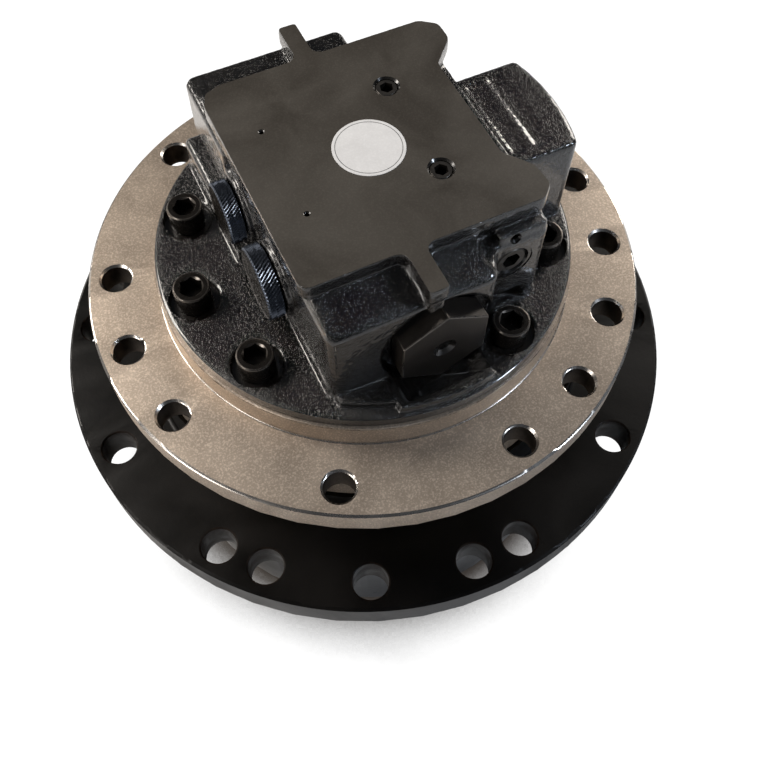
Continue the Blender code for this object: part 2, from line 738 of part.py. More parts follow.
def face_seal(name, face, back, toward):
    """One half of the floating seal: a lapped steel ring and the rubber ring that pushes it."""
    slope = 0.002
    lip = seal_ring_outer - slope
    points = [(seal_ring_outer, face), (lip, back), (seal_ring_inner, back),
              (seal_ring_inner, face)]
    if toward < 0:
        points.reverse()
    turned(f"seal_ring_{name}", points, steel, MIDDLE_STEPS)
    radius = (SEAL_SEAT_RADIUS - seal_ring_outer) / 2 - GAP
    middle = (SEAL_SEAT_RADIUS + seal_ring_outer) / 2
    height = (face + back) / 2
    section = [polar(radius, -360 * k / 6) for k in range(6)]
    turned(f"seal_cushion_{name}", [(middle + x, height + z) for x, z in section], rubber,
           MIDDLE_STEPS)


def seals():
    face_seal("turning", seal_face - GAP, bearing_top + GAP, 1)
    face_seal("fixed", seal_face + GAP, flange_low - 2 * GAP, -1)


# Motor


def shaft_bearing():
    ring("shaft_bearing", SHAFT_RADIUS + RUNNING_GAP, SHAFT_BEARING_RADIUS - GAP, spindle_foot + GAP,
         cavity_floor - GAP, steel, SHAFT_STEPS)


def swash_plate():
    """A wedge that rocks on the line where its two back faces meet, between two motor speeds."""
    pivot = cavity_floor + GAP
    reach = SWASH_RADIUS * 1.1
    rise = reach * math.tan(SWASH_ANGLE)
    back = reach * math.tan(SWASH_BACK_ANGLE)
    outline = [(0, 0), (reach, 0), (reach, SWASH_THICKNESS - rise), (-reach, SWASH_THICKNESS + rise),
               (-reach, back)]
    wedge = extruded("swash_plate", [outline], -reach, reach, steel)
    turn_mesh(wedge, Matrix(((0, 0, 1, 0), (1, 0, 0, 0), (0, 1, 0, 0), (0, 0, 0, 1))))
    wedge.location = (0, 0, pivot)
    tube = ring("swash_outline", SWASH_BORE_RADIUS, SWASH_RADIUS, -0.01, SWASH_THICKNESS * 3)
    tube.location = (0, 0, pivot)
    combine(wedge, tube, "INTERSECT")


def speed_piston():
    """A small round piston under the wedge, with a coned head."""
    top = cavity_floor
    foot = top - SPEED_PISTON_LENGTH
    profile = [(0, top), (SPEED_PISTON_RADIUS * 0.3, top),
               (SPEED_PISTON_RADIUS, top - 0.0012), (SPEED_PISTON_RADIUS, foot), (0, foot)]
    piston = turned("speed_piston", profile, steel, SHAFT_STEPS)
    piston.location = (0, SPEED_PISTON_ARM, 0)


def cylinder_block():
    bores = [polar(PISTON_CIRCLE, 360 * k / PISTON_COUNT) for k in range(PISTON_COUNT)]
    loops = [circle(BLOCK_RADIUS), circle(SHAFT_SPLINE_RADIUS + GAP, SHAFT_STEPS)]
    loops += [circle(PISTON_RADIUS + GAP, PISTON_SIDES, spot) for spot in bores]
    extruded("cylinder_block", loops, block_low, block_top, bronze)


def piston_set():
    """Nine pistons in their shoes, held by one plate, all at the middle of their stroke."""
    pivot = cavity_floor + GAP
    shoe_low = pivot + SWASH_THICKNESS + SWASH_RADIUS * math.tan(SWASH_ANGLE) + SHOE_CLEARANCE
    plate_low = shoe_low + SHOE_HEIGHT
    plate_high = plate_low + RETAINER_THICKNESS
    spots = [polar(PISTON_CIRCLE, 360 * k / PISTON_COUNT) for k in range(PISTON_COUNT)]
    plate = ring("piston_set", SHAFT_SPLINE_RADIUS + 0.003, RETAINER_RADIUS, plate_low, plate_high,
                 steel)
    join(plate, cylinders("shoes", SHOE_RADIUS, shoe_low, plate_low + RETAINER_THICKNESS / 3, spots,
                          PISTON_SIDES))
    join(plate, cylinders("pistons", PISTON_RADIUS, plate_high - RETAINER_THICKNESS / 3,
                          block_low + PISTON_REACH, spots, PISTON_SIDES))


def valve_plate():
    """The port plate between the turning block and the rear cover, with two kidney slots."""
    plate = ring("valve_plate", SHAFT_RADIUS + 0.003, VALVE_PLATE_RADIUS, valve_plate_low,
                 valve_plate_top, bronze)
    for side in (0, 180):
        outer = [polar(KIDNEY_CIRCLE + KIDNEY_WIDTH / 2, side + 20 + 35 * k) for k in range(5)]
        inner = [polar(KIDNEY_CIRCLE - KIDNEY_WIDTH / 2, side + 160 - 35 * k) for k in range(5)]
        cut(plate, extruded(f"kidney_{side}", [outer + inner], valve_plate_low - 0.001,
                            valve_plate_top + 0.001))


def parking_brake():
    """A steel plate and a lined plate, pressed together by a piston and a spring washer."""
    step = block_top - 0.018
    plate_top = step + GAP + PLATE_THICKNESS
    lining_low = plate_top + GAP
    lining_top = lining_low + FRICTION_THICKNESS
    piston_low = lining_top + GAP
    piston_top = piston_low + BRAKE_PISTON_HEIGHT
    roof = frame_face + SPIGOT_DEPTH
    outer = CAVITY_RADIUS - GAP
    ring("brake_steel_plate", SEPARATOR_BORE, outer, step + GAP, plate_top, steel)
    ring("brake_lined_plate", BLOCK_RADIUS + GAP, FRICTION_RADIUS, lining_low, lining_top, friction)
    ring("brake_piston", BRAKE_BORE, outer, piston_low, piston_top, steel)
    low, high = piston_top + GAP, roof - GAP
    rim, wall = outer - 0.002, 0.002
    turned("brake_spring", [(BRAKE_BORE + 0.004, high), (rim, low + wall), (rim, low),
                            (BRAKE_BORE + 0.002, high - wall), (BRAKE_BORE + 0.002, high)],
           gear_steel, MIDDLE_STEPS)


# Rear cover


def plate_outline():
    """The flat top of the casting: ribs front and back, ears and a waist away from the ports."""
    half, waist = PLATE_HALF, PLATE_WAIST_HALF
    ear, corner = PLATE_EAR, PLATE_EAR - 0.008
    front, back = RIB_FRONT_X, RIB_BACK_X
    width = RIB_HALF_WIDTH
    return rounded([
        (PLATE_LEFT, -half, 0.004), (front - width, -half, 0.004), (front - width, -RIB_REACH, 0),
        (front + width, -RIB_REACH, 0), (front + width, -half, 0.004), (corner, -half, 0.003),
        (ear - 0.002, -half + 0.006, 0.003), (ear - 0.003, -waist - 0.012, 0.004),
        (PLATE_WAIST, -waist, 0.003), (PLATE_WAIST, waist, 0.003), (ear, waist + 0.013, 0.004),
        (ear, half - 0.006, 0.004), (corner, half, 0.004), (back + width, half, 0.004),
        (back + width, RIB_REACH, 0), (back - width, RIB_REACH, 0),
        (back - width, half, 0.004), (PLATE_LEFT, half, 0.010),
    ], 2)


def body_outline(margin=0):
    """The casting's main block in plan, narrower on the side away from the ports."""
    left, right = BODY_LEFT - margin, BODY_RIGHT + margin
    half, side = BODY_HALF + margin, BODY_SIDE_HALF + margin
    return rounded([
        (left, -half, 0.005), (BODY_STEP, -half, 0.004), (BODY_STEP + 0.006, -side, 0.004),
        (right, -side, 0.005), (right, side, 0.005), (BODY_STEP + 0.006, side, 0.004),
        (BODY_STEP, half, 0.004), (left, half, 0.008),
    ])


def hump_outline():
    """A bulge toward the side away from the ports, ending in an arc above the disc's rim."""
    edge = math.degrees(math.asin(HUMP_HALF / HUMP_REACH))
    arc = [polar(HUMP_REACH, -edge + 2 * edge * k / 6) for k in range(7)]
    return [(PLATE_WAIST - 0.010, -HUMP_HALF), *arc, (PLATE_WAIST - 0.010, HUMP_HALF)]


def spine_ribs(cover):
    """The webs under the plate's two ribs, front and back."""
    top = frame_face + PLATE_TOP
    width, reach = RIB_HALF_WIDTH - PLATE_SINK, RIB_REACH - PLATE_SINK
    for name, x, start, end in (("front", RIB_FRONT_X, -reach, -PLATE_HALF + 0.006),
                                ("back", RIB_BACK_X, PLATE_HALF - 0.006, reach)):
        rib = block(f"spine_rib_{name}", (x - width, start, top - RIB_DEPTH),
                    (x + width, end, top - 0.002))
        join(cover, rib)


def casting_blocks(cover):
    base = disc_top - 0.001
    body_top = frame_face + BODY_TOP
    body = extruded("body", [body_outline()], base, body_top)
    bevel(body, 0.0015)
    join(cover, body)
    shoulder = frame_face + SHOULDER_TOP
    wall = BODY_HALF - CROWN_INSET
    lip = body_top + 0.001
    roof = [(-wall, body_top - 0.010), (wall, body_top - 0.010), (wall, lip), (CROWN_HALF, shoulder),
            (-CROWN_HALF, shoulder), (-wall, lip)]
    crown = extruded("crown", [roof], BODY_LEFT + 0.001, BODY_STEP - 0.001)
    turn_mesh(crown, Matrix(((0, 0, 1, 0), (1, 0, 0, 0), (0, 1, 0, 0), (0, 0, 0, 1))))
    join(cover, crown)
    neck = block("crown_neck", (BODY_LEFT + 0.002, -PLATE_HALF + 0.002, body_top - 0.005),
                 (BODY_RIGHT - 0.001, PLATE_HALF - 0.002, shoulder + 0.001))
    join(cover, neck)
    plate = extruded("top_plate", [plate_outline()], shoulder - PLATE_SINK, frame_face + PLATE_TOP)
    bevel(plate, 0.0008)
    join(cover, plate)
    hump = extruded("hump", [hump_outline()], base, frame_face + HUMP_TOP)
    bevel(hump, 0.0025, 2, 50)
    join(cover, hump)
    ledge = block("port_ledge", (LEDGE_LEFT, LEDGE_START, base),
                  (BODY_LEFT + 0.004, LEDGE_END, frame_face + LEDGE_TOP))
    bevel(ledge, 0.002)
    join(cover, ledge)


def apron_outline():
    """A low step on the disc that runs out from under the body, its outer edge in two arcs about the axis."""
    points = [(APRON_RIGHT, -PLATE_HALF), (APRON_LEFT, -PLATE_HALF)]
    spans = ((APRON_RADII[0], APRON_LEFT, APRON_STEP), (APRON_RADII[1], APRON_STEP, APRON_RIGHT))
    for radius, start, end in spans:
        first, last = (-math.degrees(math.acos(x / radius)) for x in (start, end))
        points += [polar(radius, first + (last - first) * k / 5) for k in range(6)]
    return points


def low_blocks(cover):
    """The step in front of the body, the raised back shoulder and the head of the plug's boss."""
    join(cover, extruded("front_apron", [apron_outline()], disc_top - 0.0015, frame_face + APRON_TOP))
    left, end = BACK_SHOULDER_LEFT, BACK_SHOULDER_END
    outline = rounded([(left, PLATE_WAIST_HALF, 0), (BODY_STEP, PLATE_WAIST_HALF, 0), (BODY_STEP, end, 0.003),
                       (left, end, 0.004)], 2)
    shoulder = extruded("back_shoulder", [outline], frame_face + BACK_SHOULDER_LOW,
                        frame_face + BACK_SHOULDER_TOP)
    bevel(shoulder, 0.0018)
    join(cover, shoulder)
    head = block("boss_head", (BOSS_LEFT, BOSS_FACE, frame_face + BODY_TOP - 0.008),
                 (BOSS_RIGHT, -PLATE_HALF + 0.006, frame_face + BOSS_TOP))
    bevel(head, 0.0012)
    join(cover, head)
    screw_x, screw_y = polar(SCREW_CIRCLE, SCREW_ANGLES[4])
    low, high = disc_top + 0.001, frame_face + ARCH_TOP
    arch = cylinders("screw_arch", ARCH_RADIUS, low, high, [(screw_x, screw_y)], SMALL_STEPS)
    wall = block("arch_wall", (ARCH_LEFT - 0.05, screw_y - 0.03, low - 0.01),
                 (ARCH_LEFT, screw_y + 0.03, high + 0.01))
    combine(arch, wall, "DIFFERENCE")
    cut(cover, arch)


def along_x(places):
    """Turns a helper that was made along Z so that it points along -X at (y, height) places."""
    return Matrix(((0, 0, -1, 0), (0, 1, 0, 0), (1, 0, 0, 0), (0, 0, 0, 1)))


def port_features(cover):
    """Two threaded ports in round bosses on the port side."""
    level = frame_face + PORT_HEIGHT
    places = [(level, -PORT_SPREAD), (level, PORT_SPREAD)]
    turn = along_x(places)
    face = -BODY_LEFT + PORT_BOSS_REACH
    bosses = cylinders("port_bosses", PORT_BOSS_RADIUS, -BODY_LEFT - 0.004, face, places, 20, turn)
    join(cover, bosses)
    clearance = cylinders("port_clearances", PORT_BOSS_RADIUS + 0.0007, face, -LEDGE_LEFT + 0.002, places, 20,
                          turn)
    cut(cover, clearance)
    cut(cover, cylinders("port_bores", PORT_RADIUS, face - PORT_DEPTH, face + 0.002, places,
                         HOLE_SIDES, turn))


def along_y():
    """Turns a helper that was made along Z so that it points along Y."""
    return Matrix(((1, 0, 0, 0), (0, 0, 1, 0), (0, -1, 0, 0), (0, 0, 0, 1)))


def valve_features(cover):
    """The bore for the counterbalance spool, open at both ends in round recesses."""
    level = frame_face + SPOOL_HEIGHT
    turn = Matrix.Translation((0, 0, level)) @ along_y()
    half = BODY_HALF + 0.002
    bore = cylinders("spool_bore", SPOOL_RADIUS + GAP, -half, half, [(0, 0)], HOLE_SIDES, turn)
    cut(cover, bore)
    seat = BODY_HALF - CAP_RECESS_DEPTH
    for name, low, high in (("front", -seat - GAP, -seat + CAP_THREAD_LENGTH + GAP),
                            ("back", seat - CAP_THREAD_LENGTH - GAP, seat + GAP)):
        cut(cover, cylinders(f"cap_thread_{name}", CAP_THREAD_RADIUS + GAP, low, high, [(0, 0)],
                             HOLE_SIDES, turn))
    for name, side, trough in (("front", -1, CAP_TROUGHS[0]), ("back", 1, CAP_TROUGHS[1])):
        low, high = sorted((side * seat, side * (BODY_HALF + trough)))
        recess = cylinders(f"cap_recess_{name}", CAP_RECESS_RADIUS, low, high, [(0, 0)], 24, turn)
        floor = block(f"recess_floor_{name}", (-0.05, low - 0.01, frame_face),
                      (0.05, high + 0.01, frame_face + CAP_RECESS_FLOOR))
        combine(recess, floor, "DIFFERENCE")
        cut(cover, recess)


def hump_panels(cover):
    """Two shallow bare panels sunk in the hump's top."""
    top = frame_face + HUMP_TOP
    for index in (0, 1):
        start = PANEL_START + PANEL_PITCH * index
        panel = block(f"hump_panel_{index}", (start, -PANEL_HALF, top - PANEL_DEPTH),
                      (start + PANEL_WIDTH, PANEL_HALF, top + 0.002))
        cut(cover, panel)


def small_ports(cover):
    """Seats of the two plugs in the plate and of the one on the front face."""
    top = frame_face + PLATE_TOP
    spots = [(TOP_PLUG_X, -TOP_PLUG_Y), (TOP_PLUG_X, TOP_PLUG_Y)]
    cut(cover, cylinders("top_plug_seats", TOP_PLUG_RADIUS + GAP, top - TOP_PLUG_DEPTH, top + 0.002,
                         spots))
    turn = Matrix.Translation((0, 0, frame_face + PILOT_PLUG_HEIGHT)) @ along_y()
    cut(cover, cylinders("pilot_plug_seat", PILOT_PLUG_RADIUS + GAP, -BODY_SIDE_HALF - 0.002,
                         -BODY_SIDE_HALF + TOP_PLUG_DEPTH, [(PILOT_PLUG_X, 0)], HOLE_SIDES, turn))
    turn = Matrix.Translation((0, 0, frame_face + GAUGE_HOLE_HEIGHT)) @ along_y()
    cut(cover, cylinders("gauge_hole", GAUGE_HOLE_RADIUS, BOSS_FACE - 0.002, BOSS_FACE + GAUGE_HOLE_DEPTH,
                         [(PILOT_PLUG_X, 0)], HOLE_SIDES, turn))


def rear_cover():
    """The motor's rear casting: a screwed disc that carries ports, brake valve and plate."""
    spigot_low = frame_face + SPIGOT_DEPTH
    land_low = frame_face + LAND_DEPTH
    bore = SHAFT_RADIUS + GAP
    bore_top = disc_low + 0.003 + GAP
    rim = DISC_RADIUS - EDGE_CHAMFER
    profile = [
        (0, disc_top), (rim, disc_top), (DISC_RADIUS, disc_top - EDGE_CHAMFER),
        (DISC_RADIUS, disc_low), (CAVITY_RADIUS - GAP, disc_low), (CAVITY_RADIUS - GAP, spigot_low),
        (LAND_RADIUS, spigot_low), (LAND_RADIUS, land_low), (bore, land_low), (bore, bore_top),
        (0, bore_top),
    ]
    cover = turned("rear_cover", profile, cover_paint)
    casting_blocks(cover)
    low_blocks(cover)
    spine_ribs(cover)
    port_features(cover)
    valve_features(cover)
    hump_panels(cover)
    small_ports(cover)
    spots = [polar(SCREW_CIRCLE, angle) for angle in SCREW_ANGLES]
    floor = disc_top - POCKET_DEPTH
    cut(cover, cylinders("screw_pockets", POCKET_RADIUS, floor, floor + POCKET_HEIGHT, spots, SMALL_STEPS))
    cut(cover, cylinders("screw_clearances", SCREW_RADIUS + GAP, disc_low - 0.002, floor + 0.001,
                         spots))


def cover_screws():
    sizes = (SCREW_HEAD_RADIUS, SCREW_HEAD_HEIGHT, SCREW_RADIUS, SCREW_LENGTH)
    for number, angle in enumerate(SCREW_ANGLES, 1):
        screw, recess = cap_screw(f"cover_screw_{number}", sizes, SCREW_SOCKET, dark_screw,
                                  SMALL_STEPS, SCREW_CHAMFER)
        for obj in (screw, recess):
            obj.location = (*polar(SCREW_CIRCLE, angle), disc_top - POCKET_DEPTH + GAP)


def valve_caps():
    """Large hexagon caps that close both ends of the spool's bore."""
    seat = BODY_HALF - CAP_RECESS_DEPTH + GAP
    proud = BODY_HALF + CAP_PROUD
    level = frame_face + SPOOL_HEIGHT
    for name, side in (("front", -1), ("back", 1)):
        cap = extruded(f"valve_cap_{name}", [hexagon(CAP_ACROSS_FLATS, 90)], seat, proud, cover_paint)
        bevel(cap, 0.001)
        thread = cylinders(f"valve_cap_thread_{name}", CAP_THREAD_RADIUS,
                           seat - CAP_THREAD_LENGTH, seat + 0.001, [(0, 0)])
        join(cap, thread)
        for obj in (cap, thread):
            turn_mesh(obj, Matrix.Rotation(side * math.radians(-90), 4, "X"))
            obj.location = (0, 0, level)


def spool():
    """The counterbalance spool, a stepped rod with two metering grooves."""
    half = SPOOL_LENGTH / 2
    waist = SPOOL_RADIUS * 0.6
    near, far = half * 0.35, half * 0.65
    profile = [(0, half), (SPOOL_RADIUS, half), (SPOOL_RADIUS, far), (waist, far - SPOOL_GROOVE),
               (waist, near + SPOOL_GROOVE), (SPOOL_RADIUS, near), (SPOOL_RADIUS, -near),
               (waist, -near - SPOOL_GROOVE), (waist, -far + SPOOL_GROOVE), (SPOOL_RADIUS, -far),
               (SPOOL_RADIUS, -half), (0, -half)]
    rod = turned("counterbalance_spool", profile, steel, SHAFT_STEPS)
    rod.location = (0, 0, frame_face + SPOOL_HEIGHT)
    rod.rotation_euler = (math.radians(90), 0, 0)


def port_caps():
    """Ribbed screw-in caps that close the two main ports."""
    for name, side, radius in (("front", -1, PORT_CAP_RADII[0]), ("back", 1, PORT_CAP_RADII[1])):
        outline = []
        for rib in range(PORT_CAP_RIBS * 2):
            reach = radius - (0.0008 if rib % 2 else 0)
            outline.append(polar(reach, 180 * rib / PORT_CAP_RIBS))
        face = -BODY_LEFT + PORT_BOSS_REACH
        cap = extruded(f"port_cap_{name}", [outline], face + GAP, face + GAP + PORT_CAP_HEIGHT, plug_blue)
        thread = cylinders(f"port_cap_thread_{name}", PORT_RADIUS - GAP, face - PORT_DEPTH * 0.7,
                           face + PORT_CAP_HEIGHT / 2, [(0, 0)])
        join(cap, thread)
        for obj in (cap, thread):
            turn_mesh(obj, Matrix.Rotation(math.radians(-90), 4, "Y"))
            obj.location = (0, side * PORT_SPREAD, frame_face + PORT_HEIGHT)


def socket_plug(name, radius, depth):
    """A sunk plug with a hexagon socket, its face at height zero."""
    profile = [(0, 0), (radius, 0), (radius, -depth), (0, -depth)]
    plug = turned(name, profile, steel, HOLE_SIDES)
    recess = extruded(name + "_socket", [hexagon(radius * 2 * PLUG_SOCKET_SHARE)], -depth / 2, 0.002)
    cut(plug, recess)
    return plug, recess


def small_plugs():
    depth = TOP_PLUG_DEPTH - TOP_PLUG_SUNK - GAP
    for name, y in (("front", -TOP_PLUG_Y), ("back", TOP_PLUG_Y)):
        for obj in socket_plug(f"top_plug_{name}", TOP_PLUG_RADIUS, depth):
            obj.location = (TOP_PLUG_X, y, frame_face + PLATE_TOP - TOP_PLUG_SUNK)
    for obj in socket_plug("pilot_plug", PILOT_PLUG_RADIUS, depth):
        obj.location = (PILOT_PLUG_X, -BODY_SIDE_HALF + TOP_PLUG_SUNK, frame_face + PILOT_PLUG_HEIGHT)
        obj.rotation_euler = (math.radians(90), 0, 0)


hub_housing()
end_cover()
cover_bolts()
oil_plugs()
spindle()
bearing("lower", bearing_low)
bearing("upper", bearing_high)
bearing_nut()
seals()
planets()
carriers()
suns()
drive_shaft()
shaft_bearing()
swash_plate()
speed_piston()
cylinder_block()
piston_set()
valve_plate()
parking_brake()
rear_cover()
cover_screws()
valve_caps()
spool()
port_caps()
small_plugs()
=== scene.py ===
import json
import math

import bmesh
import bpy
from mathutils import Matrix, Vector, noise


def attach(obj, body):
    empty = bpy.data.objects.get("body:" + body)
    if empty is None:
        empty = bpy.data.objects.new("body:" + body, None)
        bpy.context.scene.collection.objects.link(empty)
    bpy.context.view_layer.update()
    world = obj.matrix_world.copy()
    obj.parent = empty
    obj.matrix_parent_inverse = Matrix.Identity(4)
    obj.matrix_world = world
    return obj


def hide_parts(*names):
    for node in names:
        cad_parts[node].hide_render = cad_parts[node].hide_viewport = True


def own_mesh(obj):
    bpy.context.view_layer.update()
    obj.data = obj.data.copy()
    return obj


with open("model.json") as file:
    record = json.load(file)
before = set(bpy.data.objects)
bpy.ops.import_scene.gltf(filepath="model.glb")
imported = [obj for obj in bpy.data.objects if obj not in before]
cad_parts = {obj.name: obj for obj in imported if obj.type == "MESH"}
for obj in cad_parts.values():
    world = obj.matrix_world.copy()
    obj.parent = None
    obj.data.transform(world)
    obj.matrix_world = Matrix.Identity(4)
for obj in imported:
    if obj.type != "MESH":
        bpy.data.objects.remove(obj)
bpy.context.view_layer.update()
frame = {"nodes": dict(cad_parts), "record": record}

scene = bpy.context.scene
nodes = frame["nodes"]
print("frame loaded")


# camera: where the photograph was taken from

cameraSetup = {
    "place": (-0.11676, -0.25740, 0.57127),
    "turn": (28.930, -0.411, -25.573),
    "lens": 43.42,
}


def addCamera(setup):
    data = bpy.data.cameras.new("photoCamera")
    data.sensor_width = 36
    data.lens = setup["lens"]
    camera = bpy.data.objects.new("photoCamera", data)
    camera.location = setup["place"]
    camera.rotation_euler = [math.radians(angle) for angle in setup["turn"]]
    scene.collection.objects.link(camera)
    scene.camera = camera


addCamera(cameraSetup)
scene.view_settings.view_transform = "Standard"


# node groups that several materials share


def startGroup(name, inputs, outputs):
    group = bpy.data.node_groups.new(name, "ShaderNodeTree")
    for label, default in inputs:
        socket = group.interface.new_socket(name=label, in_out="INPUT", socket_type="NodeSocketFloat")
        socket.default_value = default
    for label in outputs:
        group.interface.new_socket(name=label, in_out="OUTPUT", socket_type="NodeSocketFloat")
    add = group.nodes.new
    return group, add, group.links.new, add("NodeGroupInput"), add("NodeGroupOutput")


def mathNode(add, link, operation, first, second=None):
    node = add("ShaderNodeMath")
    node.operation = operation
    for index, value in enumerate((first, second)):
        if isinstance(value, (int, float)):
            node.inputs[index].default_value = value
        elif value is not None:
            link(value, node.inputs[index])
    return node.outputs[0]


def castGrainGroup():
    # sand-cast skin: broad lumps and fine pits
    group, add, link, put, out = startGroup(
        "castGrain", [("Lumps", 260.0), ("Pits", 1500.0), ("Pit share", 0.5)], ["Height"])
    place = add("ShaderNodeTexCoord").outputs["Object"]
    lumps = add("ShaderNodeTexNoise")
    lumps.inputs["Detail"].default_value = 3
    pits = add("ShaderNodeTexVoronoi")
    pits.feature = "SMOOTH_F1"
    for node, label in ((lumps, "Lumps"), (pits, "Pits")):
        link(place, node.inputs["Vector"])
        link(put.outputs[label], node.inputs["Scale"])
    fine = mathNode(add, link, "MULTIPLY", pits.outputs["Distance"], put.outputs["Pit share"])
    link(mathNode(add, link, "ADD", lumps.outputs["Fac"], fine), out.inputs["Height"])
    return group


def turningLinesGroup():
    # fine rings that a lathe leaves round the Z axis, and a slow unevenness
    group, add, link, put, out = startGroup(
        "turningLines", [("Lines", 2400.0), ("Mottle", 60.0)], ["Height", "Mottle"])
    place = add("ShaderNodeTexCoord").outputs["Object"]
    apart = add("ShaderNodeSeparateXYZ")
    link(place, apart.inputs[0])
    xSquare = mathNode(add, link, "MULTIPLY", apart.outputs["X"], apart.outputs["X"])
    ySquare = mathNode(add, link, "MULTIPLY", apart.outputs["Y"], apart.outputs["Y"])
    radius = mathNode(add, link, "SQRT", mathNode(add, link, "ADD", xSquare, ySquare))
    lines = add("ShaderNodeTexNoise")
    lines.noise_dimensions = "1D"
    lines.inputs["Detail"].default_value = 4
    link(mathNode(add, link, "ADD", radius, apart.outputs["Z"]), lines.inputs["W"])
    link(put.outputs["Lines"], lines.inputs["Scale"])
    mottle = add("ShaderNodeTexNoise")
    mottle.inputs["Detail"].default_value = 6
    mottle.inputs["Roughness"].default_value = 0.7
    link(place, mottle.inputs["Vector"])
    link(put.outputs["Mottle"], mottle.inputs["Scale"])
    link(lines.outputs["Fac"], out.inputs["Height"])
    link(mottle.outputs["Fac"], out.inputs["Mottle"])
    return group


def smudgesGroup():
    # handling marks and oil film, from 0 to 1
    group, add, link, put, out = startGroup("smudges", [("Scale", 28.0)], ["Fac"])
    place = add("ShaderNodeTexCoord").outputs["Object"]
    cloud = add("ShaderNodeTexNoise")
    cloud.inputs["Detail"].default_value = 5
    cloud.inputs["Distortion"].default_value = 0.8
    link(place, cloud.inputs["Vector"])
    link(put.outputs["Scale"], cloud.inputs["Scale"])
    spread = add("ShaderNodeMapRange")
    spread.inputs["From Min"].default_value = 0.35
    spread.inputs["From Max"].default_value = 0.65
    link(cloud.outputs["Fac"], spread.inputs["Value"])
    link(spread.outputs["Result"], out.inputs["Fac"])
    return group


def specklesAndGlintsGroup():
    # small light flecks, from 0 to 1: grain on blasted steel, and painted glints on the orange-peel cover
    # paint
    group, add, link, put, out = startGroup(
        "specklesAndGlints", [("Scale", 900.0), ("Start", 0.48), ("End", 0.66)], ["Fac"])
    place = add("ShaderNodeTexCoord").outputs["Object"]
    grain = add("ShaderNodeTexNoise")
    grain.inputs["Detail"].default_value = 2
    link(place, grain.inputs["Vector"])
    link(put.outputs["Scale"], grain.inputs["Scale"])
    spread = add("ShaderNodeMapRange")
    link(put.outputs["Start"], spread.inputs["From Min"])
    link(put.outputs["End"], spread.inputs["From Max"])
    link(grain.outputs["Fac"], spread.inputs["Value"])
    link(spread.outputs["Result"], out.inputs["Fac"])
    return group


castGrain = castGrainGroup()
turningLines = turningLinesGroup()
smudges = smudgesGroup()
specklesAndGlints = specklesAndGlintsGroup()


# materials

coatRoughness = 0.08


def startMaterial(name, metallic, coat=0.0, specular=0.5):
    material = bpy.data.materials.new(name)
    material.use_nodes = True
    tree = material.node_tree
    shader = tree.nodes["Principled BSDF"]
    shader.inputs["Metallic"].default_value = metallic
    shader.inputs["Coat Weight"].default_value = coat
    shader.inputs["Coat Roughness"].default_value = coatRoughness
    shader.inputs["Specular IOR Level"].default_value = specular
    return material, tree.nodes.new, tree.links.new, shader


def useGroup(add, group, **values):
    node = add("ShaderNodeGroup")
    node.node_tree = group
    for label, value in values.items():
        node.inputs[label.replace("_", " ")].default_value = value
    return node


def mixColours(add, link, shader, dark, light, factor):
    blend = add("ShaderNodeMix")
    blend.data_type = "RGBA"
    blend.inputs[6].default_value = (*dark, 1)
    blend.inputs[7].default_value = (*light, 1)
    link(factor, blend.inputs[0])
    link(blend.outputs[2], shader.inputs["Base Color"])


def mixRoughness(add, link, shader, low, high, factor):
    spread = add("ShaderNodeMapRange")
    spread.inputs["To Min"].default_value = low
    spread.inputs["To Max"].default_value = high
    link(factor, spread.inputs["Value"])
    link(spread.outputs["Result"], shader.inputs["Roughness"])


def addBump(add, link, shader, height, strength, distance):
    bump = add("ShaderNodeBump")
    bump.inputs["Strength"].default_value = strength
    bump.inputs["Distance"].default_value = distance
    link(height, bump.inputs["Height"])
    link(bump.outputs["Normal"], shader.inputs["Normal"])


def blendMasks(add, link, first, second, share):
    # the share of the second mask in the two
    blend = add("ShaderNodeMix")
    blend.data_type = "FLOAT"
    blend.inputs[0].default_value = share
    link(first, blend.inputs[2])
    link(second, blend.inputs[3])
    return blend.outputs[0]


def castFinish(name, look):
    material, add, link, shader = startMaterial(name, 0.0, look["coat"], look.get("specular", 0.5))
    grain = useGroup(add, castGrain, Lumps=look["lumps"], Pits=look["pits"], Pit_share=look["pitShare"])
    marks = useGroup(add, smudges, Scale=look["markScale"]).outputs["Fac"]
    # light flecks in the colour: grain, and on the cover paint painted glints of its orange-peel skin
    flecksAndGlints = useGroup(add, specklesAndGlints, Scale=look["fleckAndGlintScale"]).outputs["Fac"]
    mixColours(add, link, shader, look["dark"], look["light"],
               blendMasks(add, link, marks, flecksAndGlints, look["fleckAndGlintShare"]))
    mixRoughness(add, link, shader, look["smooth"], look["rough"], marks)
    addBump(add, link, shader, grain.outputs["Height"], look["bump"], look["depth"])
    return material


def turnedFinish(name, look):
    material, add, link, shader = startMaterial(name, look["metallic"])
    lines = useGroup(add, turningLines, Lines=look["lines"], Mottle=look["mottle"])
    mottle = lines.outputs["Mottle"]
    flecksAndGlints = useGroup(add, specklesAndGlints, Scale=look.get("fleckAndGlintScale", 1400.0)).outputs["Fac"]
    mixColours(add, link, shader, look["dark"], look["light"],
               blendMasks(add, link, mottle, flecksAndGlints, look.get("fleckAndGlintShare", 0.15)))
    mixRoughness(add, link, shader, look["smooth"], look["rough"], mottle)
    addBump(add, link, shader, lines.outputs["Height"], look["bump"], look["depth"])
    return material
